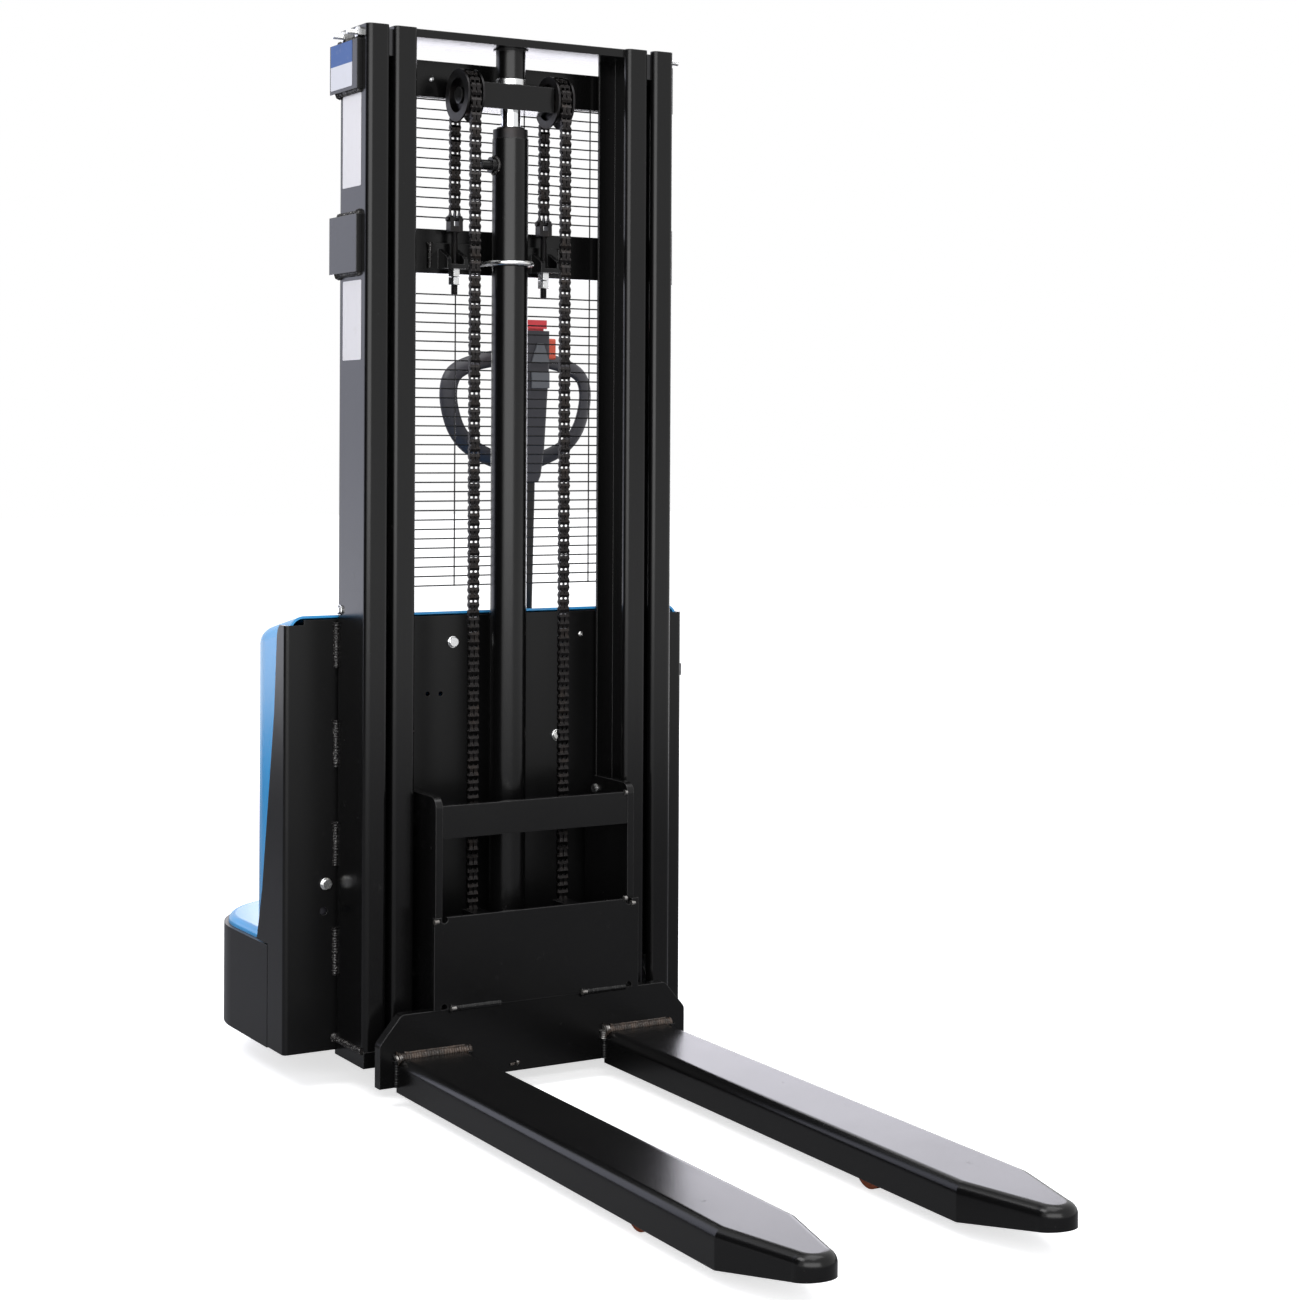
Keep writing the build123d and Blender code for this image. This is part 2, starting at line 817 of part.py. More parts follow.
def fork():
    """Hollow fork with a tapered, lifted tip."""
    half = fork_width / 2
    rear = -fork_plate_front
    tip = rear - fork_length
    taper = tip + fork_taper
    corner = tip + fork_tip_round
    outline = Polyline((half, rear), (half, taper), (fork_tip_half, corner))
    outline += ThreePointArc((fork_tip_half, corner), (0, tip), (-fork_tip_half, corner))
    outline += Polyline((-fork_tip_half, corner), (-half, taper), (-half, rear), (half, rear))
    body = extrude(Pos(fork_x, 0, fork_bottom) * make_face(outline), fork_height)
    body = fillet(body.faces().sort_by(Axis.Z)[-1].edges() - body.edges().group_by(Axis.Y)[-1], fork_edge)
    wedge = [(taper, fork_bottom), (tip - past, fork_bottom), (tip - past, fork_bottom + fork_tip_lift)]
    body -= plate_yz(wedge, around(fork_x, fork_width))
    inside = half - fork_skirt
    return body - block(around(fork_x, inside), (taper, rear + past),
                        (fork_bottom - past, fork_top - fork_top_thick))


def support_leg():
    """Leg inside a fork with the pin of its load roller."""
    x = around(fork_x, leg_width / 2)
    inside = (x[0] + leg_side, x[1] - leg_side)
    leg = block(x, (-leg_reach, 0), (leg_bottom, leg_top))
    leg -= block(inside, (-leg_reach - past, past), (leg_bottom - past, leg_top - leg_roof))
    slot = load_roller_radius + load_roller_slot
    leg -= block(inside, (-load_roller_y - slot, slot - load_roller_y), (leg_bottom, leg_top + past))
    leg += block(x, (-leg_tongue_front, leg_tongue), (leg_bottom, beam_bottom))
    return leg + bar_x(x, -load_roller_y, load_roller_radius, load_pin)


def load_roller():
    """Load roller at the end of a leg."""
    half = leg_width / 2 - leg_side - load_roller_side
    return ring_x(around(fork_x, half), -load_roller_y, load_roller_radius, load_roller_radius,
                  load_pin + fit_gap)


def rear_skirt():
    """Skirt round the drive wheel and the castor."""
    front = panel_foot_y + skirt_seam
    skirt = plan(chassis_half_width, (front, body_rear), skirt_corner, (skirt_bottom, skirt_top))
    inside_y = (front - past, body_rear - sheet)
    return skirt - plan(chassis_half_width - sheet, inside_y, skirt_corner - sheet,
                        (skirt_bottom - past, skirt_top + past))


def floor_plate():
    """Plate inside the skirt that carries the turret, the castor and the battery."""
    plate = plan(chassis_half_width - sheet, (plate_back, body_rear - sheet), skirt_corner - sheet,
                 (floor_bottom, skirt_top))
    plate = fillet(plate.edges().filter_by(Axis.Z).group_by(Axis.Y)[0], panel_bend - sheet)
    through = (floor_bottom - past, skirt_top + past)
    plate -= post(steer_x, steer_y, through, turret_radius + fit_gap)
    return plate - post(castor_x, steer_y, through, castor_stem + fit_gap)


def rear_lid():
    """Moulded lid over the drive space, open under the upper cover and at the turret."""
    inset = sheet + cover_gap
    half = chassis_half_width - inset
    rear = body_rear - inset
    corner = skirt_corner - inset
    lid = plan(half, (lid_front, rear), corner, (skirt_top, lid_top))
    rim = lid.faces().sort_by(Axis.Z)[-1].edges() - lid.edges().group_by(Axis.Y)[0]
    lid = fillet(rim, lid_round)
    lid -= plan(half - lid_wall, (lid_front - past, rear - lid_wall), corner - lid_wall,
                (skirt_top - past, lid_top - lid_round))
    lid -= plan(half - lid_round, (lid_front - past, rear - lid_round), corner - lid_round,
                (skirt_top - past, lid_top - lid_wall))
    lid -= plan(cover_half - lid_lip, (plate_back, cover_rear - lid_lip), cover_corner - lid_lip,
                (skirt_top, lid_top + past))
    return lid - post(steer_x, steer_y, (skirt_top, lid_top + past), lid_hole)


def cover_form(inset, front):
    """Upper cover's outer form, or its inside when inset by the wall."""
    rear = cover_rear - inset
    fall = cover_top_front - cover_top_rear
    top = cover_top_front - inset
    form = plan(cover_half - inset, (front, rear), cover_corner - inset, (lid_top - inset, top))
    ends = (front - past, cover_rear + past)
    wedge = [(ends[0], top), (ends[1], top - fall), (ends[1], top + past), (ends[0], top + past)]
    form -= plate_yz(wedge, around(0, chassis_half_width))
    rim = form.faces().sort_by(Axis.Z)[-1].edges() - form.edges().group_by(Axis.Y)[0]
    return fillet(rim, cover_round - inset)


def upper_cover():
    """Moulded cover over the battery and the hydraulics."""
    cover = cover_form(0, plate_back) - cover_form(cover_wall, plate_back - past)
    through = (cover_rear - cover_wall - past, cover_rear + past)
    return cover - bar_y(stop_x, through, stop_z, stop_stem + fit_gap)


def mesh_panel(z, tab_z):
    """Flat wire panel behind the cross members, with upright wires that run on over the tab_z pair."""
    wide = 2 * mesh_half
    tall = extent(z)
    rows = int(tall // mesh_row)
    pitch = (tall - mesh_wire) / rows
    face = Rectangle(wide, tall)
    hole = Rectangle(mesh_column - mesh_wire, pitch - mesh_wire)
    face -= [place * hole for place in GridLocations(mesh_column, pitch, mesh_columns, rows)]
    inner = (mesh_columns * mesh_column + mesh_wire) / 2
    side = (inner, mesh_half - mesh_edge)
    side_hole = Rectangle(extent(side), pitch - mesh_wire)
    face -= [place * side_hole for place in GridLocations(2 * middle(side), pitch, 2, rows)]
    tab = Rectangle(mesh_wire, extent(tab_z))
    tab_up = Pos(0, middle(z) - middle(tab_z))
    face += [tab_up * place * tab for place in GridLocations(mesh_column, 1, mesh_columns + 1, 1)]
    plane = Plane(origin=(0, member_back, middle(z)), x_dir=(1, 0, 0), z_dir=(0, 1, 0))
    return extrude(plane * face, mesh_wire)


def battery_pack():
    """Battery with two terminals."""
    x, y = battery_x, battery_y
    top = skirt_top + battery_size[2]
    pack = Pos(x, y, skirt_top + battery_size[2] / 2) * Box(*battery_size)
    for offset in around(0, terminal_offset):
        pack += post(x + offset, y, (top, top + terminal_height), terminal_radius)
    return pack


def hydraulic_unit():
    """Oil tank with the pump motor on top."""
    x, y = tank_middle
    top = skirt_top + tank_size[2]
    unit = Pos(x, y, skirt_top + tank_size[2] / 2) * Box(*tank_size)
    return unit + post(x, y, (top, top + pump_height), pump_radius)


def motor_controller():
    """Controller box on the back of the front plate."""
    place = Pos(controller_x, plate_back + controller_size[1] / 2, controller_z + controller_size[2] / 2)
    return place * Box(*controller_size)


def drive_turret():
    """Steered turret with the gearbox, the wheel axle and the tiller lugs."""
    yoke_bottom = turret_under - turret_yoke_thick
    lug_x = turret_lug_gap + turret_lug_thick
    neck_top = tiller_pivot_z - arm_boss_radius - running_gap
    turret = post(steer_x, steer_y, (yoke_bottom, floor_over), turret_radius)
    turret += post(steer_x, steer_y, (yoke_bottom, turret_under), turret_yoke_radius)
    turret += post(steer_x, steer_y, (floor_over, floor_over + turret_flange_thick), turret_flange_radius)
    turret += post(steer_x, steer_y, (floor_over, neck_top), turret_neck_radius)
    for side in around(0, 1):
        x = sorted((steer_x + side * turret_lug_gap, steer_x + side * lug_x))
        low = skirt_top + lid_height
        turret += block(x, around(steer_y, turret_lug_half), (low, tiller_pivot_z))
        turret += bar_x(x, steer_y, tiller_pivot_z, turret_lug_half)
    turret += bar_x(around(steer_x, lug_x), steer_y, tiller_pivot_z, tiller_pin)
    side_x = steer_x + wheel_width / 2 + wheel_side_gap
    turret += block((side_x, side_x + gearbox_width), around(steer_y, gearbox_half),
                    (gearbox_bottom, yoke_bottom))
    end = steer_x - wheel_width / 2 + wheel_hub_inset - running_gap
    turret += bar_x((end, side_x), steer_y, wheel_radius, wheel_axle)
    return turret + bar_x((end - wheel_cap_thick, end), steer_y, wheel_radius, wheel_cap_radius)


def drive_wheel_hub():
    """Hub of the drive wheel."""
    half = wheel_width / 2 - wheel_hub_inset
    return ring_x(around(steer_x, half), steer_y, wheel_radius, wheel_hub_radius, wheel_axle + fit_gap)


def drive_wheel_tyre():
    """Tyre bonded on the hub."""
    half = wheel_width / 2
    return ring_x(around(steer_x, half), steer_y, wheel_radius, wheel_radius, wheel_hub_radius)


def castor_fork():
    """Swivel fork of the castor with its wheel axle."""
    crown_bottom = turret_under - castor_crown_thick
    axle_y = steer_y - castor_trail
    fork_body = post(castor_x, steer_y, (crown_bottom, turret_under), castor_crown_radius)
    fork_body += post(castor_x, steer_y, (turret_under, floor_over), castor_stem)
    fork_body += post(castor_x, steer_y, (floor_over, floor_over + castor_cap_thick), castor_cap_radius)
    arm_x = castor_width / 2 + castor_arm_gap
    foot = castor_radius - castor_foot_half
    outline = [(axle_y - castor_foot_half, foot), (axle_y + castor_foot_half, foot),
               (steer_y + castor_trail, crown_bottom), (steer_y - castor_trail, crown_bottom)]
    for side in around(0, 1):
        x = sorted((castor_x + side * arm_x, castor_x + side * (arm_x + castor_arm_thick)))
        fork_body += plate_yz(outline, x)
    return fork_body + bar_x(around(castor_x, arm_x), axle_y, castor_radius, castor_axle)


def castor_wheel():
    """Castor wheel."""
    half = castor_width / 2
    return ring_x(around(castor_x, half), steer_y - castor_trail, castor_radius, castor_radius,
                  castor_axle + fit_gap)


def tiller_arm():
    """Tiller arm with its pivot boss."""
    outline = [(arm_half_top, arm_top_z), (arm_half_middle, arm_middle_z), (arm_half_low, tiller_pivot_z)]
    points = [(steer_x + x, z) for x, z in outline]
    points += [(steer_x - x, z) for x, z in reversed(outline)]
    arm = plate_xz(points, around(steer_y, arm_depth / 2))
    uprights = arm.edges().filter_by(lambda edge: abs(edge.tangent_at(0.5).Z) > 0.9)
    arm = fillet(uprights, arm_edge)
    half = turret_lug_gap - running_gap
    arm += bar_x(around(steer_x, half), steer_y, tiller_pivot_z, arm_boss_radius)
    core = [(arm_half_top - arm_wall, arm_top_z + past), (arm_half_middle - arm_wall, arm_middle_z),
            (arm_half_low - arm_wall, arm_hollow_z)]
    points = [(steer_x + x, z) for x, z in core]
    points += [(steer_x - x, z) for x, z in reversed(core)]
    core_half = arm_depth / 2 - arm_wall
    arm -= plate_xz(points, around(steer_y, core_half))
    return arm - bar_x(around(steer_x, half + past), steer_y, tiller_pivot_z, tiller_pin + fit_gap)


def hand_loop():
    """Loop handle on both sides of the tiller head."""
    path = Spline(*[(steer_x + x, steer_y + loop_back, z) for x, z in loop_points])
    start = Plane(origin=path @ 0, x_dir=(0, 1, 0), z_dir=path % 0)
    half = sweep(start * Rot(0, 0, -loop_tilt) * Ellipse(loop_thin, loop_wide), path=path)
    return half + mirror(half, about=Plane.YZ.offset(steer_x))


def button_outline(kind, side, grow):
    """Outline of a push button in (x, z), grown by a clearance."""
    low = button_inner - grow
    high = button_outer + grow
    if kind == "triangle":
        top = triangle_high + grow
        points = [(low, triangle_low - grow), (high, triangle_low - grow), (high - triangle_lean, top),
                  (low + triangle_lean, top)]
    else:
        points = [(low, square_low - grow), (high, square_low - grow), (high, square_high + grow),
                  (low, square_high + grow)]
    return [(steer_x + side * x, z) for x, z in points]


def push_button(kind, side):
    """Push button on the mast side of the tiller head."""
    front = head_front - button_face
    return plate_xz(button_outline(kind, side, 0), (front, front + button_body))


def tiller_head():
    """Tiller head with the loop handle, and pockets for its controls."""
    outline = [(arm_half_top, arm_top_z), (neck_half, neck_z), (head_half_low, head_low_z),
               (head_half_high, head_high_z), (head_half_high, head_top)]
    points = [(steer_x + x, z) for x, z in outline]
    points += [(steer_x - x, z) for x, z in reversed(outline)]
    head = plate_xz(points, (head_front, steer_y + head_depth / 2))
    uprights = head.edges().filter_by(lambda edge: abs(edge.tangent_at(0.5).Z) > 0.5)
    head = fillet(uprights, head_edge)
    head += hand_loop()
    pocket = button_body - button_face + button_travel + running_gap
    for kind in ("triangle", "square"):
        for side in around(0, 1):
            outline = button_outline(kind, side, running_gap)
            head -= plate_xz(outline, (head_front - past, head_front + pocket))
    well_half = belly_stem_half + running_gap
    well_depth = belly_stem_depth / 2 + running_gap
    well_z = head_top - belly_stem_drop - belly_travel - running_gap
    head -= block(around(steer_x, well_half), around(steer_y, well_depth),
                  (well_z, head_top + past))
    shaft_x = (steer_x - head_half_high - past, steer_x + head_half_high + past)
    return head - bar_x(shaft_x, steer_y - throttle_back, throttle_z, throttle_shaft + fit_gap)


def belly_button():
    """Safety button on top of the tiller head."""
    seat = head_top + belly_travel + running_gap
    cap = block(around(steer_x, belly_half), around(steer_y, belly_depth / 2),
                (seat, head_top + belly_rise))
    cap = fillet(cap.edges().filter_by(Axis.Z), head_edge)
    half = belly_stem_depth / 2
    return cap + block(around(steer_x, belly_stem_half), around(steer_y, half),
                       (head_top - belly_stem_drop, seat))


def throttle_butterfly():
    """Thumb throttle: a shaft through the head with a wing at each end."""
    inner = head_half_high + running_gap
    outer = inner + throttle_wing
    y = steer_y - throttle_back
    throttle = bar_x(around(steer_x, inner), y, throttle_z, throttle_shaft)
    tall = around(throttle_z, throttle_wing_height / 2)
    for side in around(0, 1):
        x = sorted((steer_x + side * inner, steer_x + side * outer))
        wing = block(x, around(y, throttle_wing_half), tall)
        throttle += fillet(wing.edges().filter_by(Axis.X), throttle_edge)
    return throttle


def key_switch():
    """Key switch through the right side panel."""
    inside = chassis_half_width - sheet
    face = chassis_half_width + running_gap
    key = bar_x((inside - key_inside, face), key_y, key_z, key_barrel)
    key += bar_x((face, face + key_head_thick), key_y, key_z, key_head_radius)
    half = key_grip_thick / 2
    return key + block((face + key_head_thick, face + key_head_thick + key_grip), around(key_y, half),
                       around(key_z, key_barrel))


def emergency_stop():
    """Mushroom button on the back of the upper cover."""
    head_y = cover_rear + stop_travel + running_gap
    stop = bar_y(stop_x, (cover_rear - cover_wall - stop_travel, head_y), stop_z, stop_stem)
    return stop + bar_y(stop_x, (head_y, head_y + stop_head_thick), stop_z, stop_head)


os.makedirs("parts", exist_ok=True)

save("mast_base_beam", base_beam())
save_pair("outer_rail", outer_rail())
save_pair("support_leg", support_leg())
save("upper_cross_member", cross_member((upper_member_z, upper_member_z + upper_member_height)))
bracket = chain_bracket()
middle_z = (middle_member_z, middle_member_z + middle_member_height)
save("middle_cross_member", cross_member(middle_z) + bracket + other_side(bracket))
save("body_frame", body_frame())
save("floor_plate", floor_plate())
save("lift_cylinder_tube", cylinder_tube())
save("cylinder_gland", cylinder_gland())
save("cylinder_clamp", cylinder_clamp())
save("chain_anchor_bolts", both_sides(chain_anchor()))
save("rear_chain_runs", both_sides(chain_run(axis_y + chain_pitch_radius, (clevis_top, pulley_z))))
lower_guard = mesh_panel(mesh_lower, (mesh_lower[0], middle_member_z + mesh_tab))
upper_guard = mesh_panel(mesh_upper, (middle_member_top - mesh_tab, mesh_upper[1]))
save("mesh_guards", Compound(children=[*lower_guard.solids(), *upper_guard.solids()]))
save("zinc_fasteners", zinc_fasteners())
save("slide_pads", slide_pads())
save("upper_cover", upper_cover())
save("rear_lid", rear_lid())
save("rear_skirt", rear_skirt())
save("battery_pack", battery_pack())
save("hydraulic_unit", hydraulic_unit())
save("motor_controller", motor_controller())

save_pair("inner_rail", inner_rail())
save("inner_mast_ties", inner_mast_ties())
save("piston_rod", piston_rod())
save("rod_sleeve", rod_sleeve())
save("pulley_crossbar", pulley_crossbar())
save("front_chain_runs", both_sides(chain_run(axis_y - chain_pitch_radius, (chain_lug_top, pulley_z))))
save("chain_wraps", both_sides(chain_wrap()))
save_pair("chain_pulley", chain_pulley())
save("mast_rollers", both_sides(roller(rail_channel_x - roller_inset, mast_roller_z, mast_roller_radius)))

save_pair("carriage_cheek", carriage_cheek())
save("carriage_top_bar", carriage_top_bar())
save("carriage_lower_plate", carriage_lower_plate())
save("fork_plate", fork_plate())
save_pair("fork", fork())
roller_end = inner_channel_x - roller_inset
save("upper_carriage_rollers", both_sides(roller(roller_end, upper_roller_z, carriage_roller_radius)))
save("lower_carriage_rollers", both_sides(roller(roller_end, lower_roller_z, carriage_roller_radius)))
save_pair("load_roller", load_roller())

save("drive_turret", drive_turret())
save("drive_wheel_hub", drive_wheel_hub())
save("drive_wheel_tyre", drive_wheel_tyre())
save("castor_fork", castor_fork())
save("castor_wheel", castor_wheel())
save("tiller_arm", tiller_arm())
save("tiller_head", tiller_head())
save("belly_button", belly_button())
save("throttle_butterfly", throttle_butterfly())
save("raise_button", push_button("triangle", 1))
save("lower_button", push_button("triangle", -1))
save("horn_button", push_button("square", 1))
save("creep_button", push_button("square", -1))
save("key_switch", key_switch())
save("emergency_stop", emergency_stop())
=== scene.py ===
# %% [markdown]
# An electric walkie stacker lifts pallets with two forks on a chain-hung carriage.
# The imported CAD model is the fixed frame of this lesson: every piece keeps its CAD place, in metres.
# The steps below add a camera, a stage, the finishes, and the details that are too fine for the solids.

# %% Load the frame
import json
import math

import bmesh
import bpy
from mathutils import Matrix, Vector


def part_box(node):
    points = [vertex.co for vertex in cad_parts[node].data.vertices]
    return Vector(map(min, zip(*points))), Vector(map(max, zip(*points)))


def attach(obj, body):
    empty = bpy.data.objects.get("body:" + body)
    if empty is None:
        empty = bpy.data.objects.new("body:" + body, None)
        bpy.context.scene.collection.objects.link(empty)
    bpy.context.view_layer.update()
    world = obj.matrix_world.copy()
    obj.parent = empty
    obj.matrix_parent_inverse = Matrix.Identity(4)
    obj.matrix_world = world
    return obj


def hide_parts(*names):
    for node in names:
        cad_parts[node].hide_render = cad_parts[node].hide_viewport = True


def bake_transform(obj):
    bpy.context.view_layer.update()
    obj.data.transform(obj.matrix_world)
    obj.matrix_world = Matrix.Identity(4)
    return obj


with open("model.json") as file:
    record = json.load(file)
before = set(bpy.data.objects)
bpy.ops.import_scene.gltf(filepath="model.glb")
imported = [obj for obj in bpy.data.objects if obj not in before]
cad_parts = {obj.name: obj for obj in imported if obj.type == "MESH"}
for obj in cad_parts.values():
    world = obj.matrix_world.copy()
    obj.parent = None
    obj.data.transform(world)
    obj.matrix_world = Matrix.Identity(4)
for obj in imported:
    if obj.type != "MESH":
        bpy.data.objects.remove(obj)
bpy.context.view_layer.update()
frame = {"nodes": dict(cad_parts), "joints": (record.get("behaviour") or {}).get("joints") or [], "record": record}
nodes = frame["nodes"]

# %% [markdown]
# The photograph was taken from the fork end, a little to the left of the truck and at chest height.
# Its view was worked out from the edges of the mast, so the camera is written as a place and three angles.
# The upright edges stay parallel there, so the view is lowered with the lens shift and not by tilting.

# %% Camera
view_yaw, view_pitch, view_roll = (math.radians(v) for v in (-30.376, -0.248, 0.284))
image_width, image_height = 1299, 1300
focal_pixels, sensor_width = 2415.5, 36
centre_pixel = (641.24, 453.64)
camera_place = (-1.9369, -3.3743, 1.1013)
ahead = Vector((-math.sin(view_yaw) * math.cos(view_pitch),
                math.cos(view_yaw) * math.cos(view_pitch), math.sin(view_pitch)))
level = Vector((math.cos(view_yaw), math.sin(view_yaw), 0))
above = level.cross(ahead)
across = math.cos(view_roll) * level + math.sin(view_roll) * above
upward = math.cos(view_roll) * above - math.sin(view_roll) * level
camera_data = bpy.data.cameras.new("photo_camera")
camera_data.sensor_fit = "HORIZONTAL"
camera_data.sensor_width = sensor_width
camera_data.lens = focal_pixels * sensor_width / image_width
camera_data.shift_x = (image_width / 2 - centre_pixel[0]) / image_width
camera_data.shift_y = (centre_pixel[1] - image_height / 2) / image_width
camera = bpy.data.objects.new("photo_camera", camera_data)
turn = Matrix((across, upward, -ahead)).transposed().to_4x4()
camera.matrix_world = Matrix.Translation(camera_place) @ turn
bpy.context.scene.collection.objects.link(camera)
bpy.context.scene.camera = camera
print("lens mm:", round(camera_data.lens, 2), "shift:", round(camera_data.shift_x, 4),
      round(camera_data.shift_y, 4))

# %% [markdown]
# Every finish here is a node tree, and shader sums read better as Python than as loose nodes.
# One class wraps a socket so that it can be added and multiplied, another makes any node of a tree, and
# a third makes a material. Only numbers go through the sums: colours are mixed with a Mix node.

# %% Shader arithmetic


class Value:
    """One output socket of a shader node that takes part in sums."""

    def __init__(self, owner, socket):
        self.owner = owner
        self.socket = socket

    def maths(self, operation, first, second):
        return self.owner.node("Math", {"operation": operation}, {0: first, 1: second})

    def __add__(self, other):
        return self.maths("ADD", self, other)

    def __sub__(self, other):
        return self.maths("SUBTRACT", self, other)

    def __rsub__(self, other):
        return self.maths("SUBTRACT", other, self)

    def __mul__(self, other):
        return self.maths("MULTIPLY", self, other)

    __radd__ = __add__
    __rmul__ = __mul__


class Shading:
    """A shader node tree whose nodes all come from one method."""

    def __init__(self, tree):
        self.tree = tree

    def feed(self, socket, value):
        if isinstance(value, Value):
            self.tree.links.new(value.socket, socket)
        else:
            socket.default_value = value

    def node(self, kind, settings=None, inputs=None, output=0):
        made = self.tree.nodes.new("ShaderNode" + kind)
        for key, value in (settings or {}).items():
            setattr(made, key, value)
        for key, value in (inputs or {}).items():
            self.feed(made.inputs[key], value)
        return Value(self, made.outputs[output])


print("shader arithmetic ready")

# %% Finish helper


class Finish(Shading):
    """A material with a Principled shader; its constant values are set on the shader's own sockets."""

    def __init__(self, name, **constants):
        self.material = bpy.data.materials.new(name)
        self.material.use_nodes = True
        super().__init__(self.material.node_tree)
        self.shader = self.tree.nodes["Principled BSDF"]
        self.shade(**constants)

    def shade(self, **sockets):
        for key, value in sockets.items():
            self.feed(self.shader.inputs[key.replace("_", " ")], value)

    def place(self):
        return self.node("TexCoord", output="Object")

    def noise(self, scale, detail=3, roughness=0.5, vector=None):
        inputs = {"Scale": scale, "Detail": detail, "Roughness": roughness, "Vector": vector or self.place()}
        return self.node("TexNoise", None, inputs)

    def band(self, value, low, high):
        """Ease a value from 0 at low to 1 at high."""
        inputs = {"Value": value, "From Min": low, "From Max": high}
        return self.node("MapRange", {"interpolation_type": "SMOOTHSTEP"}, inputs)

    def mix(self, factor, first, second):
        return self.node("Mix", {"data_type": "RGBA"}, {0: factor, 6: first, 7: second}, 2)

    def edge(self, radius):
        """Rounded normal of the edges, and how far it leans from the flat face."""
        rounded = self.node("Bevel", {"samples": 4}, {"Radius": radius})
        flat = self.node("NewGeometry", output="Normal")
        lean = self.node("VectorMath", {"operation": "DOT_PRODUCT"}, {0: rounded, 1: flat}, "Value")
        return rounded, 1 - lean

    def bump(self, height, distance, strength=1.0, normal=None):
        inputs = {"Height": height, "Distance": distance, "Strength": strength}
        if normal is not None:
            inputs["Normal"] = normal
        return self.node("Bump", None, inputs)


def rgb(red, green, blue):
    return (red, green, blue, 1.0)


print("finish helper ready")

# %% [markdown]
# The truck stands in a white studio, so its dark paint mirrors pale surfaces on all sides.
# The floor is a plain pale sheet that keeps the truck's shadow. The camera, and the mirrored rays, see
# a white world, while the light that falls on the truck comes from that world at a lower level and from
# five wide lamps. The key lamp behind the camera draws the pale lines along the rounded corners, two at the
# left light the side faces, and black cloths at the left keep the turn between them dark.

# %% White world
bpy.context.scene.view_settings.view_transform = "Standard"
world = bpy.data.worlds.new("white_studio")
bpy.context.scene.world = world
world.use_nodes = True
world.node_tree.nodes.remove(world.node_tree.nodes["Background"])
studio = Shading(world.node_tree)
ray_kinds = ("Is Camera Ray", "Is Glossy Ray", "Is Transmission Ray")
camera_ray, mirrored_ray, passed_ray = [studio.node("LightPath", output=kind) for kind in ray_kinds]
seen = camera_ray.maths("MAXIMUM", camera_ray, mirrored_ray)
seen = seen.maths("MAXIMUM", seen, passed_ray)
shown = studio.node("Background", None, {"Color": rgb(1, 1, 1), "Strength": 1.0})
cast = studio.node("Background", None, {"Color": rgb(0.95, 0.97, 1.0), "Strength": 0.36})
either = studio.node("MixShader", None, {0: seen, 1: cast, 2: shown})
studio.feed(world.node_tree.nodes["World Output"].inputs["Surface"], either)
print("world:", world.name)

# %% Floor
reach = 30.0
corners = [(-reach, -reach, 0), (reach, -reach, 0), (reach, reach, 0), (-reach, reach, 0)]
floor_mesh = bpy.data.meshes.new("studio_floor")
floor_mesh.from_pydata(corners, [], [(0, 1, 2, 3)])
floor = bpy.data.objects.new("studio_floor", floor_mesh)
bpy.context.scene.collection.objects.link(floor)
pale = Finish("pale_floor", Roughness=0.9, Specular_IOR_Level=0.0, Emission_Strength=1.0)
straight = pale.node("LightPath", output="Is Camera Ray")
pale.shade(Base_Color=pale.mix(straight, rgb(0.30, 0.30, 0.31), rgb(0.86, 0.86, 0.87)))
distance = pale.node("VectorMath", {"operation": "LENGTH"}, {0: pale.place()}, "Value")
far = pale.mix(pale.band(distance, 2.5, 7.0), rgb(0, 0, 0), rgb(1.3, 1.3, 1.3))
near = pale.mix(pale.band(distance, 2.0, 6.0), rgb(0.66, 0.66, 0.66), rgb(1, 1, 1))
pale.shade(Emission_Color=pale.mix(straight, far, near))
floor_mesh.materials.append(pale.material)
print("floor:", 2 * reach, "m wide")

# %% Lamps


def lamp(name, place, target, size, power, colour=(1, 1, 1)):
    light = bpy.data.lights.new(name, "AREA")
    light.shape = "RECTANGLE"
    light.size, light.size_y = size
    light.energy = power
    light.color = colour
    made = bpy.data.objects.new(name, light)
    made.location = place
    made.rotation_euler = (Vector(target) - Vector(place)).to_track_quat("-Z", "Y").to_euler()
    made.visible_camera = False
    bpy.context.scene.collection.objects.link(made)


lamp("overhead_softbox", (0.2, -0.6, 4.6), (0, -0.2, 0.6), (4.0, 3.0), 105)
lamp("key_softbox", (-2.15, -3.65, 1.75), (-0.1, 0.3, 1.1), (5.4, 2.4), 150)
lamp("left_rear_softbox", (-1.83, 2.64, 1.85), (-0.2, 0.0, 1.2), (1.7, 3.0), 16, (0.66, 0.70, 1.0))
lamp("high_left_softbox", (-3.0, 0.2, 3.9), (-0.2, 0.2, 0.9), (2.2, 2.0), 90)
lamp("back_softbox", (2.9, 4.6, 1.7), (0, 0.0, 0.5), (3.4, 2.6), 60, (0.90, 0.88, 1.0))
print("lamps:", len(bpy.data.lights))

# %% Black cloths


def flag(name, centre, facing, width, low, high):
    """Black cloth on a stand that keeps the white studio out of the dark paint, unseen by the camera."""
    side = Vector((-facing[1], facing[0], 0)).normalized() * width / 2
    foot = Vector((centre[0], centre[1], low))
    top = Vector((centre[0], centre[1], high))
    mesh = bpy.data.meshes.new(name)
    mesh.from_pydata([foot - side, foot + side, top + side, top - side], [], [(0, 1, 2, 3)])
    cloth = Finish(name + "_cloth", Base_Color=rgb(0.01, 0.01, 0.01), Roughness=1.0, Specular_IOR_Level=0.0)
    mesh.materials.append(cloth.material)
    made = bpy.data.objects.new(name, mesh)
    made.visible_camera = False
    bpy.context.scene.collection.objects.link(made)


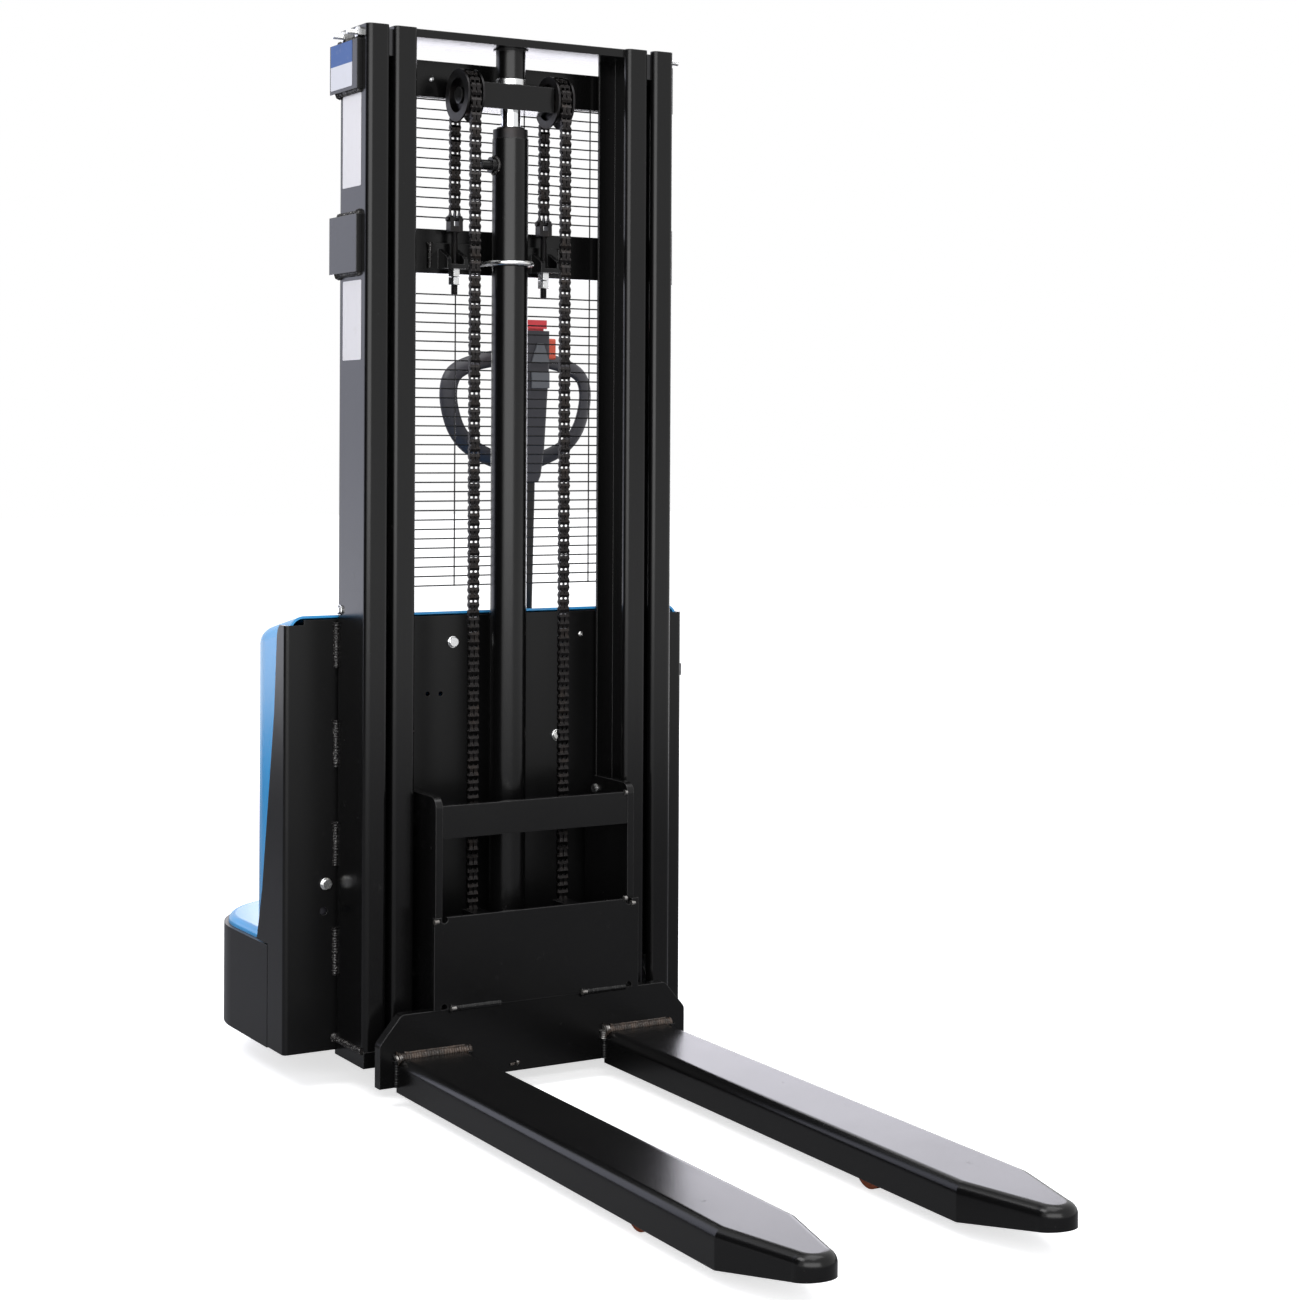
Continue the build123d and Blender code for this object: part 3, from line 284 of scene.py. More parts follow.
flag("low_left_flag", (-1.95, 2.75), (0.5, -0.86), 2.8, 0.002, 0.30)
flag("left_flag", (-3.2, 0.45), (1.0, 0.0), 2.0, 0.2, 3.2)
flag("left_back_flag", (-3.07, 1.99), (0.866, -0.5), 1.4, 0.2, 3.2)
print("stage ready")

# %% [markdown]
# Nearly all of the truck is steel with a satin black powder coat. Its skin is a fine orange peel, its
# gloss drifts a little from place to place, and its bent and cut edges catch a thin grey line of light.
# The Bevel node rounds those edges for the shading, and the lean of its normal also lightens the base colour along
# them, a painted highlight.

# %% Powder coat


def powder_coat(name, tone, gloss, edge_radius):
    paint = Finish(name, IOR=1.48, Specular_IOR_Level=0.3)
    rounded, lean = paint.edge(edge_radius)
    peel = paint.noise(900, 2, 0.55)
    cloud = paint.noise(4.5, 4, 0.6)
    scuff = paint.band(paint.noise(46, 6, 0.72), 0.60, 0.78)
    # painted highlight: the base colour turns pale grey where the Bevel normal leans off the face, along every
    # edge
    painted_edge_highlight = paint.band(lean, 0.02, 0.28)
    body = paint.mix(cloud, rgb(tone * 0.85, tone * 0.85, tone * 0.9), rgb(tone * 1.15, tone * 1.12, tone * 1.15))
    dusty = paint.mix(scuff * 0.08, body, rgb(0.050, 0.048, 0.048))
    final = paint.mix(painted_edge_highlight * 0.6, dusty, rgb(0.085, 0.083, 0.084))
    paint.shade(Base_Color=final, Roughness=cloud * 0.12 + scuff * 0.12 + (gloss - 0.06))
    paint.shade(Normal=paint.bump(peel, 0.00025, 0.22, rounded))
    return paint.material


black_paint = powder_coat("satin_black_paint", 0.0030, 0.21, 0.0024)
black_sheet = powder_coat("satin_black_sheet", 0.0030, 0.30, 0.0012)
print("paints:", black_paint.name, black_sheet.name)

# %% [markdown]
# The cover and the rear lid are azure plastic with a fine moulded grain and a clear, slightly soft gloss.
# The tiller head is black plastic with a coarser grain, and its switches are small glossy mouldings.
# One recipe serves them all, with the grain size, the gloss and the colour as its values.

# %% Moulded plastics


def moulded(name, colour, gloss, grain, depth, edge_radius=0.0008):
    plastic = Finish(name, IOR=1.5)
    rounded, lean = plastic.edge(edge_radius)
    pits = plastic.node("TexVoronoi", {"feature": "SMOOTH_F1"},
                        {"Vector": plastic.place(), "Scale": grain, "Smoothness": 0.6}, "Distance")
    drift = plastic.noise(6, 3, 0.5)
    fine = plastic.noise(grain * 0.6, 3, 0.6)
    shade = tuple(v * 0.86 for v in colour)
    tint = tuple(min(1.0, v * 1.10 + 0.004) for v in colour)
    skin = plastic.mix(drift, rgb(*shade), rgb(*tint))
    # painted highlight: the colour turns paler where the Bevel normal leans off the face, along every edge
    painted_edge_tint = tuple(min(1.0, v * 1.4 + 0.03) for v in colour)
    final = plastic.mix(plastic.band(lean, 0.03, 0.3) * 0.25, skin, rgb(*painted_edge_tint))
    plastic.shade(Base_Color=final, Roughness=drift * 0.08 + fine * 0.08 + (gloss - 0.08))
    plastic.shade(Normal=plastic.bump(pits, depth, 0.5, rounded))
    return plastic.material


blue_plastic = moulded("azure_moulding", (0.048, 0.352, 0.745), 0.24, 1400, 0.00006)
black_plastic = moulded("grained_black_plastic", (0.027, 0.026, 0.034), 0.48, 1100, 0.00012)
red_plastic = moulded("red_switch_plastic", (0.790, 0.046, 0.062), 0.32, 2600, 0.00003)
orange_plastic = moulded("orange_thumb_plastic", (0.800, 0.110, 0.052), 0.34, 2600, 0.00003)
grey_plastic = moulded("grey_button_plastic", (0.120, 0.126, 0.140), 0.42, 2200, 0.00004)
nylon = moulded("dark_nylon", (0.022, 0.022, 0.024), 0.45, 1800, 0.00005)
urethane = moulded("amber_urethane", (0.300, 0.072, 0.026), 0.40, 900, 0.00010)
print("plastics:", blue_plastic.name, black_plastic.name, urethane.name)

# %% [markdown]
# The bare metals differ mostly in gloss: the lift rod is hard chrome with faint lengthwise lines, the nuts
# and studs are bright zinc with a cloudy, slightly yellow plating, and the chain is dark and oily.

# %% Bare metals


def metal(name, colour, gloss, spread, stain, stain_colour, line_scale=None, edge_radius=0.0006):
    bare = Finish(name, Metallic=1.0)
    rounded, lean = bare.edge(edge_radius)
    cloud = bare.noise(120, 4, 0.65)
    blotch = bare.band(bare.noise(34, 5, 0.7), 0.48, 0.72)
    tone = bare.mix(blotch * stain, rgb(*colour), rgb(*stain_colour))
    # painted highlight: the colour turns paler where the Bevel normal leans off the face, along every edge
    bright = tuple(min(1.0, v * 1.5 + 0.06) for v in colour)
    tone = bare.mix(bare.band(lean, 0.03, 0.3) * 0.5, tone, rgb(*bright))
    where = bare.place()
    if line_scale:
        where = bare.node("Mapping", None, {"Vector": where, "Scale": line_scale})
    lines = bare.noise(1, 3, 0.6, where) if line_scale else bare.noise(800, 2)
    bare.shade(Base_Color=tone, Roughness=cloud * spread + blotch * spread + (gloss - spread))
    bare.shade(Normal=bare.bump(lines, 0.00006, 0.25, rounded))
    return bare.material


zinc = metal("bright_zinc", (0.700, 0.705, 0.710), 0.30, 0.10, 0.5, (0.520, 0.490, 0.400))
chrome = metal("hard_chrome", (0.780, 0.790, 0.800), 0.10, 0.03, 0.15, (0.600, 0.600, 0.610), (900, 900, 12))
bare_steel = metal("turned_steel", (0.330, 0.330, 0.335), 0.38, 0.10, 0.4, (0.200, 0.180, 0.160), (60, 900, 900))
aluminium = metal("cast_aluminium", (0.520, 0.525, 0.530), 0.45, 0.10, 0.3, (0.400, 0.400, 0.400))
blackened = metal("blackened_steel", (0.030, 0.029, 0.030), 0.44, 0.08, 0.35, (0.055, 0.045, 0.038))
chain_steel = metal("oiled_chain_steel", (0.026, 0.024, 0.024), 0.36, 0.10, 0.6, (0.046, 0.036, 0.030))
print("metals:", zinc.name, chrome.name, chain_steel.name)

# %% [markdown]
# Each CAD node already knows its material slot from the record. A good rigid shape stays as it is and
# takes the finish of its slot, so this step only matches slots with finishes.

# %% Finishes on the CAD nodes
slot_finish = {"black_paint": black_paint, "black_sheet": black_sheet, "blackened_steel": blackened,
               "chain_steel": chain_steel, "zinc": zinc, "chrome": chrome, "bare_steel": bare_steel,
               "nylon": nylon, "blue_plastic": blue_plastic, "black_plastic": black_plastic,
               "red_plastic": red_plastic, "orange_plastic": orange_plastic, "grey_plastic": grey_plastic,
               "polyurethane": urethane, "aluminium": aluminium}
for part in frame["record"]["subparts"]:
    slots = nodes[part["node"]].data.materials
    slots.clear()
    slots.append(slot_finish[part["material_slot"]])

# %% [markdown]
# Links, wires, nuts and weld beads repeat a small shape along a path or at a list of places.
# Geometry Nodes do that well: a tree takes the path and a few named sizes, and gives the whole row back.
# This class builds a tree, runs it once on a path, and keeps the result as a plain mesh for one body.

# %% Geometry node helper


class Network:
    """A geometry node tree with named inputs."""

    def __init__(self, name, **inputs):
        self.tree = bpy.data.node_groups.new(name, "GeometryNodeTree")
        self.keys = {}
        face = self.tree.interface
        face.new_socket("Geometry", in_out="INPUT", socket_type="NodeSocketGeometry")
        face.new_socket("Geometry", in_out="OUTPUT", socket_type="NodeSocketGeometry")
        for key, kind in inputs.items():
            self.keys[key] = face.new_socket(key, in_out="INPUT", socket_type="NodeSocket" + kind).identifier
        self.start = self.tree.nodes.new("NodeGroupInput")
        self.end = self.tree.nodes.new("NodeGroupOutput")

    def given(self, key="Geometry"):
        return self.start.outputs[key]

    def node(self, kind, settings=None, inputs=None, output=0):
        made = self.tree.nodes.new(kind)
        for key, value in (settings or {}).items():
            setattr(made, key, value)
        for key, value in (inputs or {}).items():
            for one in value if isinstance(value, list) else [value]:
                if isinstance(one, bpy.types.NodeSocket):
                    self.tree.links.new(one, made.inputs[key])
                else:
                    made.inputs[key].default_value = one
        return made.outputs[output]

    def maths(self, operation, first, second=0.0):
        return self.node("ShaderNodeMath", {"operation": operation}, {0: first, 1: second})

    def close(self, geometry):
        """End the tree with real geometry and its finish."""
        real = self.node("GeometryNodeRealizeInstances", None, {0: geometry})
        done = self.node("GeometryNodeSetMaterial", None, {"Geometry": real, "Material": self.given("finish")})
        self.tree.links.new(done, self.end.inputs[0])

    def grow(self, name, base, **values):
        carrier = bpy.data.objects.new(name + "_path", base)
        bpy.context.scene.collection.objects.link(carrier)
        modifier = carrier.modifiers.new("grow", "NODES")
        modifier.node_group = self.tree
        for key, value in values.items():
            modifier[self.keys[key]] = value
        ready = carrier.evaluated_get(bpy.context.evaluated_depsgraph_get())
        mesh = bpy.data.meshes.new_from_object(ready)
        carrier.modifiers.remove(modifier)
        bpy.data.objects.remove(carrier)
        return placed(name, mesh)


print("geometry node helper ready")

# %% Mesh helpers


def placed(name, mesh):
    mesh.name = name
    piece = bpy.data.objects.new(name, mesh)
    bpy.context.scene.collection.objects.link(piece)
    return piece


def polyline(name, runs):
    """Loose edges that join the points of each run."""
    points, edges = [], []
    for run in runs:
        first = len(points)
        points += [tuple(point) for point in run]
        edges += [(first + i, first + i + 1) for i in range(len(run) - 1)]
    mesh = bpy.data.meshes.new(name)
    mesh.from_pydata(points, edges, [])
    return mesh


def put(piece, body, slot, *hidden):
    """Let a piece ride on a body, in place of the named nodes; the slot is not used."""
    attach(piece, body)
    if hidden:
        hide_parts(*hidden)
    print(piece.name, "on", body, "with", len(piece.data.polygons), "faces")


def mesh_from(builder, name, finish=None):
    mesh = bpy.data.meshes.new(name)
    bmesh.ops.recalc_face_normals(builder, faces=builder.faces)
    builder.to_mesh(mesh)
    builder.free()
    if finish:
        mesh.materials.append(finish)
    return mesh


def prism(builder, outline, direction):
    """Closed prism from a planar outline of points pushed along a direction."""
    push = Vector(direction)
    near = [builder.verts.new(point) for point in outline]
    far = [builder.verts.new(Vector(point) + push) for point in outline]
    builder.faces.new(near)
    builder.faces.new(reversed(far))
    for i, vert in enumerate(near):
        after = (i + 1) % len(near)
        builder.faces.new((near[after], vert, far[i], far[after]))


print("mesh helpers ready")

# %% [markdown]
# The carriage hangs on two leaf chains. Stacked plates of two kinds of link alternate: wide links carry thin
# plates at the edges and in the middle, narrow links fill the two spaces between them, and a pin joins them.
# The plates have a waist, so light shows in small slits. One plate outline makes both links, and a tree
# sets them along a path, every second one narrow. The straight runs change length as the mast rises, but
# here they are plain meshes fixed where they are built, and the turn over the pulley rides on the inner mast.

# %% Chain links
chain_pitch, plate_round = 0.0127, 0.0053
pin_radius, pin_half = 0.0022, 0.0102


def chain_link(name, places, thick, waist):
    builder = bmesh.new()
    angles = [math.radians(v) for v in (0, 60, 120, 180)]
    end = [(plate_round * math.cos(a), chain_pitch / 2 + plate_round * math.sin(a)) for a in angles]
    side = end + [(-waist / 2, 0)] + [(-y, -z) for y, z in end] + [(waist / 2, 0)]
    for x in places:
        prism(builder, [(x - thick / 2, y, z) for y, z in side], (thick, 0, 0))
    steps = [math.radians(60 * i) for i in range(6)]
    rim = [(-pin_half, pin_radius * math.cos(a), chain_pitch / 2 + pin_radius * math.sin(a)) for a in steps]
    prism(builder, rim, (2 * pin_half, 0, 0))
    return placed(name, mesh_from(builder, name))


wide_link = chain_link("wide_link", (-0.0086, 0.0, 0.0086), 0.0018, 0.0046)
narrow_link = chain_link("narrow_link", (-0.00595, -0.00265, 0.00265, 0.00595), 0.0029, 0.0090)
print("links:", wide_link.name, "and", narrow_link.name)

# %% Chain tree
chains = Network("leaf_chain", links="Int", wide="Object", narrow="Object", apart="Vector", finish="Material")
path = chains.node("GeometryNodeMeshToCurve", None, {0: chains.given()})
row = chains.node("GeometryNodeMeshLine", None, {"Count": chains.given("links")})
index = chains.node("GeometryNodeInputIndex")
along = chains.maths("DIVIDE", chains.maths("ADD", index, 0.5), chains.given("links"))
read = chains.node("GeometryNodeSampleCurve", {"mode": "FACTOR"}, {"Curves": path, "Factor": along}).node
aim = chains.node("FunctionNodeAlignRotationToVector", {"axis": "Z", "pivot_axis": "X"},
                  {"Vector": read.outputs["Tangent"]})
odd = chains.maths("MODULO", index, 2.0)
spots = chains.node("GeometryNodeSetPosition", None, {"Geometry": row, "Position": read.outputs["Position"]})
kinds = []
for kind, chosen in (("wide", chains.maths("SUBTRACT", 1.0, odd)), ("narrow", odd)):
    shape = chains.node("GeometryNodeObjectInfo", None, {"Object": chains.given(kind)}, "Geometry")
    kinds.append(chains.node("GeometryNodeInstanceOnPoints", None,
                             {"Points": spots, "Selection": chosen, "Instance": shape, "Rotation": aim}))
left = chains.node("GeometryNodeJoinGeometry", None, {0: kinds})
right = chains.node("GeometryNodeTransform", None, {"Geometry": left, "Translation": chains.given("apart")})
chains.close(chains.node("GeometryNodeJoinGeometry", None, {0: [left, right]}))
print("chain tree:", len(chains.tree.nodes), "nodes")

# %% Chain runs
chain_x, anchor_z, lug_z = 0.088, 1.497, 0.300
pulley_y, pulley_z, turn_radius = 0.388, 1.701, 0.040
back_y, front_y = pulley_y + turn_radius, pulley_y - turn_radius
turn_steps = [math.pi * i / 48 for i in range(49)]
over_pulley = [(-chain_x, pulley_y + turn_radius * math.cos(a), pulley_z + turn_radius * math.sin(a))
               for a in turn_steps]
routes = {"rear_chain_links": [(-chain_x, back_y, anchor_z), (-chain_x, back_y, pulley_z)],
          "chain_turn_links": over_pulley,
          "front_chain_links": [(-chain_x, front_y, pulley_z), (-chain_x, front_y, lug_z)]}
rows = {}
for name, route in routes.items():
    length = sum((Vector(b) - Vector(a)).length for a, b in zip(route, route[1:]))
    rows[name] = chains.grow(name, polyline(name, [route]), links=round(length / chain_pitch), wide=wide_link,
                             narrow=narrow_link, apart=(2 * chain_x, 0, 0), finish=chain_steel)
for helper in (wide_link, narrow_link):
    bpy.data.objects.remove(helper)
put(rows["chain_turn_links"], "inner_mast", "chain_steel", "chain_wraps")
for name, low_body, run_y, low_end, hidden in (
        ("rear_chain_links", "chassis", back_y, anchor_z, "rear_chain_runs"),
        ("front_chain_links", "carriage", front_y, lug_z, "front_chain_runs")):
    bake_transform(rows[name])
    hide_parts(hidden)
    print(name, "between", low_body, "and inner_mast with", len(rows[name].data.polygons), "faces")

# %% [markdown]
# Two panels of thin welded wire keep hands out of the mast. Their level wires lie close together and are
# crimped a little, and the upright ones are straight and far apart.
# The panels are drawn as bare lines, and a tree bends the lines and gives them a round section.

# %% Wire tree
wires = Network("guard_wire", step="Float", crimp="Float", wave="Float", radius="Float", sides="Int",
                finish="Material")
line = wires.node("GeometryNodeMeshToCurve", None, {0: wires.given()})
fine = wires.node("GeometryNodeResampleCurve", {"mode": "LENGTH"}, {"Curve": line, "Length": wires.given("step")})
where = wires.node("GeometryNodeInputPosition")
split = wires.node("ShaderNodeSeparateXYZ", None, {0: where}).node
swing = wires.maths("SINE", wires.maths("MULTIPLY", split.outputs["X"], wires.given("wave")))
lift = wires.node("ShaderNodeCombineXYZ", None, {"Y": wires.maths("MULTIPLY", swing, wires.given("crimp"))})
bent = wires.node("GeometryNodeSetPosition", None, {"Geometry": fine, "Offset": lift})
ring = wires.node("GeometryNodeCurvePrimitiveCircle", None,
                  {"Resolution": wires.given("sides"), "Radius": wires.given("radius")})
round_wire = wires.node("GeometryNodeCurveToMesh", None, {"Curve": bent, "Profile Curve": ring, "Fill Caps": True})
wires.close(wires.node("GeometryNodeSetShadeSmooth", None, {"Geometry": round_wire}))
print("wire tree:", len(wires.tree.nodes), "nodes")

# %% Guard wires
wire_radius, level_pitch, crimp_length = 0.00140, 0.0162, 0.045
guard_y, guard_half, tab_reach = 0.46525, 0.262, 0.25
upright_x = (-0.2605, -0.2025, -0.0675, 0.0675, 0.2025, 0.2605)
panels = ((0.848, 1.362, 0.848, 1.399), (1.494, 1.720, 1.470, 1.720))
level_lines, upright_lines = [], []
for low, high, tab_low, tab_high in panels:
    count = int((high - low) // level_pitch)
    for i in range(count + 1):
        z = low + wire_radius + i * (high - low - 2 * wire_radius) / count
        level_lines.append([(-guard_half, guard_y, z), (guard_half, guard_y, z)])
    for x in upright_x:
        inner = abs(x) < tab_reach
        upright_lines.append([(x, guard_y, tab_low if inner else low), (x, guard_y, tab_high if inner else high)])
level_wires = wires.grow("guard_level_wires", polyline("level_lines", level_lines), step=0.009, crimp=0.0006,
                         wave=2 * math.pi / crimp_length, radius=wire_radius, sides=6, finish=black_paint)
upright_wires = wires.grow("guard_upright_wires", polyline("upright_lines", upright_lines), step=0.2, crimp=0.0,
                           wave=1.0, radius=wire_radius, sides=6, finish=black_paint)
put(level_wires, "chassis", "black_paint", "mesh_guards")
put(upright_wires, "chassis", "black_paint")

# %% [markdown]
# Nuts, bolt heads and studs are turned or hexagonal. A lathe makes anything round from a profile of radius
# and height, and a hexagon with its corners turned off makes nuts and heads. Threads are drawn as real rings,
# because the ends of the studs show them. A tree then sets one shape at every place that has it.

# %% Lathe


def lathe(builder, profile, segments=24, place=Matrix()):
    """Closed turned shape about local Z; a radius of 0 ends on the axis."""
    rings = []
    for radius, height in profile:
        if radius == 0:
            rings.append([builder.verts.new(place @ Vector((0, 0, height)))])
            continue
        turns = [2 * math.pi * i / segments for i in range(segments)]
        rings.append([builder.verts.new(place @ Vector((radius * math.cos(a), radius * math.sin(a), height)))
                      for a in turns])
    closed = rings if profile[0][0] == 0 else rings + rings[:1]
    for low, high in zip(closed, closed[1:]):
        for i in range(segments):
            after = (i + 1) % segments
            corners = [low[i % len(low)], low[after % len(low)], high[after % len(high)], high[i % len(high)]]
            builder.faces.new(list(dict.fromkeys(corners)))


print("lathe ready")

# %% Hexagon and thread


def hexagon(builder, across, thick, bore=0.0):
    """Hexagon on the XY plane with its upper corners turned off; a bore makes it a nut."""
    flat = across / 2
    corner = flat / math.cos(math.pi / 6)
    drop = (corner - flat) * 0.6
    turns = [math.pi * i / 6 for i in range(12)]
    rings = []
    for shape in ("foot", "shoulder", "top", "bore", "bore_foot"):
        ring = []
        for i, a in enumerate(turns):
            sharp = i % 2 == 0
            radius = corner if sharp else flat
            height = thick - drop if sharp else thick - drop * 0.1
            radius, height = {"foot": (radius, 0), "shoulder": (radius, height), "top": (flat * 0.95, thick),
                              "bore": (bore, thick), "bore_foot": (bore, 0)}[shape]
            ring.append(builder.verts.new((radius * math.cos(a), radius * math.sin(a), height)))
        rings.append(ring)
        if shape == "top" and not bore:
            builder.faces.new(ring)
            builder.faces.new(reversed(rings[0]))
            break
    pairs = list(zip(rings, rings[1:]))
    if bore:
        pairs.append((rings[-1], rings[0]))
    for low, high in pairs:
        for i in range(12):
            after = (i + 1) % 12
            builder.faces.new((low[i], low[after], high[after], high[i]))


def thread(builder, radius, low, high, pitch, depth):
    """Threaded stud between two heights."""
    profile = [(0, low), (radius - depth, low)]
    count = int((high - low) / pitch)
    for i in range(count):
        z = low + (i + 0.5) * (high - low) / count
        profile += [(radius, z), (radius - depth, z + 0.5 * (high - low) / count)]
    lathe(builder, profile + [(0, high)], 12)


def helper_shape(name, *steps):
    builder = bmesh.new()
    for step, *values in steps:
        step(builder, *values)
    return placed(name, mesh_from(builder, name))


print("hexagon and thread ready")

# %% Fastener shapes
washer_profile = [(0.0055, 0.0), (0.0105, 0.0), (0.0105, 0.0014), (0.0101, 0.0018), (0.0055, 0.0018)]
shapes = {"adjuster": [(hexagon, 0.017, 0.008, 0.005), (thread, 0.005, -0.008, 0.025, 0.0015, 0.0006)],
          "bolt": [(lathe, washer_profile), (hexagon, 0.0165, 0.0075)],
          "side_bolt": [(hexagon, 0.013, 0.0055),
                        (lathe, [(0, 0.0), (0.0088, 0.0), (0.0088, 0.0015), (0, 0.0015)])],
          "rivet": [(lathe, [(0, 0.0), (0.005, 0.0), (0.0047, 0.0014), (0.0030, 0.0026), (0.0017, 0.0029),
                             (0.0015, 0.0018), (0, 0.0018)])],
          "bow_nut": [(lathe, washer_profile), (hexagon, 0.013, 0.0085, 0.0040)],
          "anchor_nut": [(hexagon, 0.019, 0.0132, 0.006)]}
moulds = {name: helper_shape(name + "_shape", *steps) for name, steps in shapes.items()}
print("fastener shapes:", ", ".join(moulds))

# %% Fastener tree
sets = Network("fastener_set", shape="Object", turn="Vector", finish="Material")
part_shape = sets.node("GeometryNodeObjectInfo", None, {"Object": sets.given("shape")}, "Geometry")
facing = sets.node("FunctionNodeEulerToRotation", None, {0: sets.given("turn")})
sets.close(sets.node("GeometryNodeInstanceOnPoints", None,
                     {"Points": sets.given(), "Instance": part_shape, "Rotation": facing}))
print("fastener tree:", len(sets.tree.nodes), "nodes")

# %% Fasteners in place
turned = {"left": (0, -math.pi / 2, 0), "right": (0, math.pi / 2, 0), "front": (math.pi / 2, 0, 0),
          "down": (math.pi, 0, 0)}
mast_side, adjuster_z, plate_front = 0.298, 1.787, 0.448
anchor_y, seat_z = 0.428, 1.403
bow_radius, bow_z = 0.0385, 1.413
side_bolt_y, side_bolt_z = 0.432, 0.815
rivet_z, nut_step = 1.734, 0.0142
cheek_face, cheek_bolt_y, cheek_bolt_z = 0.1786, 0.390, 0.484
adjusters = [(y, adjuster_z) for y in (0.358, 0.418)]
hardware = [
    ("left_adjusters", "chassis", "adjuster", "left", [(-mast_side, y, z) for y, z in adjusters]),
    ("right_adjusters", "chassis", "adjuster", "right", [(mast_side, y, z) for y, z in adjusters]),
    ("left_side_bolt", "chassis", "side_bolt", "left", [(-mast_side, side_bolt_y, side_bolt_z)]),
    ("right_side_bolt", "chassis", "side_bolt", "right", [(mast_side, side_bolt_y, side_bolt_z)]),
    ("plate_bolts", "chassis", "bolt", "front",
     [(x, plate_front, z) for x, z in ((-0.078, 0.751), (0.130, 0.576), (-0.316, 0.347))]),
    ("plate_rivet", "chassis", "rivet", "front", [(0.178, plate_front, 0.756)]),
    ("member_rivets", "chassis", "rivet", "front", [(x, plate_front, rivet_z) for x in (-0.124, 0.124)]),
    ("bow_nuts", "chassis", "bow_nut", "front", [(x, plate_front, bow_z) for x in (-bow_radius, bow_radius)]),
    ("left_cheek_bolt", "carriage", "side_bolt", "right", [(-cheek_face, cheek_bolt_y, cheek_bolt_z)]),
    ("right_cheek_bolt", "carriage", "side_bolt", "left", [(cheek_face, cheek_bolt_y, cheek_bolt_z)]),
    ("anchor_nuts", "chassis", "anchor_nut", "down",
     [(x, anchor_y, z) for x in (-chain_x, chain_x) for z in (seat_z, seat_z - nut_step)])]
for name, body, shape, side, places in hardware:
    row = sets.grow(name, polyline(name, [[place] for place in places]), shape=moulds[shape], turn=turned[side],
                    finish=zinc)
    put(row, body, "zinc", *(["zinc_fasteners"] if name == "left_adjusters" else []))
for mould in moulds.values():
    bpy.data.objects.remove(mould)

# %% [markdown]
# Each rear chain ends in a clevis: two ears on a foot, a pin across them, and a threaded rod that passes a
# bracket and is held by the two nuts from below. The ears are cut from one outline with a round top.

# %% Chain anchors
clevis_foot, pin_z = 1.468, 1.490
ear_round, ear_thick, ear_starts = 0.0085, 0.007, (-0.012, 0.005)
foot_x, foot_y, foot_high = 0.0052, 0.0088, 0.010
stud_low, stud_high = 1.358, 1.4685
anchors = bmesh.new()
for x in (-chain_x, chain_x):
    arc = [math.radians(v) for v in range(0, 181, 20)]
    ear = [(ear_round * math.cos(a), pin_z - clevis_foot + ear_round * math.sin(a) * 0.8) for a in arc]
    ear += [(-0.009, 0.007), (-0.009, 0.0), (0.009, 0.0), (0.009, 0.007)]
    for low in ear_starts:
        prism(anchors, [(x + low, anchor_y + y, clevis_foot + z) for y, z in ear], (ear_thick, 0, 0))
    foot = [(-foot_x, -foot_y), (foot_x, -foot_y), (foot_x, foot_y), (-foot_x, foot_y)]
    prism(anchors, [(x + a, anchor_y + b, clevis_foot) for a, b in foot], (0, 0, foot_high))
    across_pin = Matrix.Translation((x, anchor_y, pin_z)) @ Matrix.Rotation(math.pi / 2, 4, "Y")
    lathe(anchors, [(0, -0.016), (0.0040, -0.016), (0.0044, -0.0155), (0.0044, -0.0130), (0.0030, -0.0128),
                    (0.0030, 0.0158), (0.0026, 0.0162), (0, 0.0162)], 12, across_pin)
anchor_mesh = mesh_from(anchors, "anchor_clevises", blackened)
put(placed("anchor_clevises", anchor_mesh), "chassis", "blackened_steel", "chain_anchor_bolts")
rod_shape = helper_shape("anchor_rod_shape", (thread, 0.006, stud_low, stud_high, 0.00175, 0.0008))
rods = sets.grow("anchor_rods", polyline("anchor_rods", [[(x, anchor_y, 0)] for x in (-chain_x, chain_x)]),
                 shape=rod_shape, turn=(0, 0, 0), finish=blackened)
bpy.data.objects.remove(rod_shape)
put(rods, "chassis", "blackened_steel")

# %% [markdown]
# The steel is joined by weld beads: short stitches where the front plate meets the mast rails and along the
# fork plate, beads round the ears of the cross members, the chain brackets and the cylinder's port, and a full
# bead over the heel of each fork. A bead is a row of frozen ripples, so a tree sweeps a circle along a line and
# swells it at every ripple. The painted ones are black with pale flakes where the paint has chipped, the heel
# beads keep the straw and brown tint of the heat, and a few bead ends at the heels are bare. Short pale runs of
# bare metal on the carriage welds are painted glints.

# %% Weld bead tree
bead_step, spatter_scale = 0.0009, 190.0
ripple_swell, spatter_swell, least_swell = 0.26, 0.55, 0.58
blob_length, blob_swell = 0.009, 0.5
beads = Network("weld_bead", radius="Float", ripple="Float", finish="Material")
seam = beads.node("GeometryNodeMeshToCurve", None, {0: beads.given()})
close_points = beads.node("GeometryNodeResampleCurve", {"mode": "LENGTH"}, {"Curve": seam, "Length": bead_step})
travel = beads.node("GeometryNodeSplineParameter", None, None, "Length")
phase = beads.maths("FRACT", beads.maths("DIVIDE", travel, beads.given("ripple")))
spatter = beads.node("ShaderNodeTexNoise", None, {"Scale": spatter_scale, "Detail": 2.0})
falling = beads.maths("MULTIPLY", beads.maths("SUBTRACT", 1.0, phase), ripple_swell)
rough = beads.maths("ADD", beads.maths("MULTIPLY", spatter, spatter_swell), least_swell)
start_blob = beads.maths("SUBTRACT", 1.0, beads.maths("DIVIDE", travel, blob_length))
start_blob = beads.maths("MULTIPLY", beads.maths("MAXIMUM", 0.0, start_blob), blob_swell)
swell = beads.maths("MULTIPLY", beads.maths("ADD", falling, rough), beads.maths("ADD", 1.0, start_blob))
swell = beads.maths("MULTIPLY", swell, beads.given("radius"))
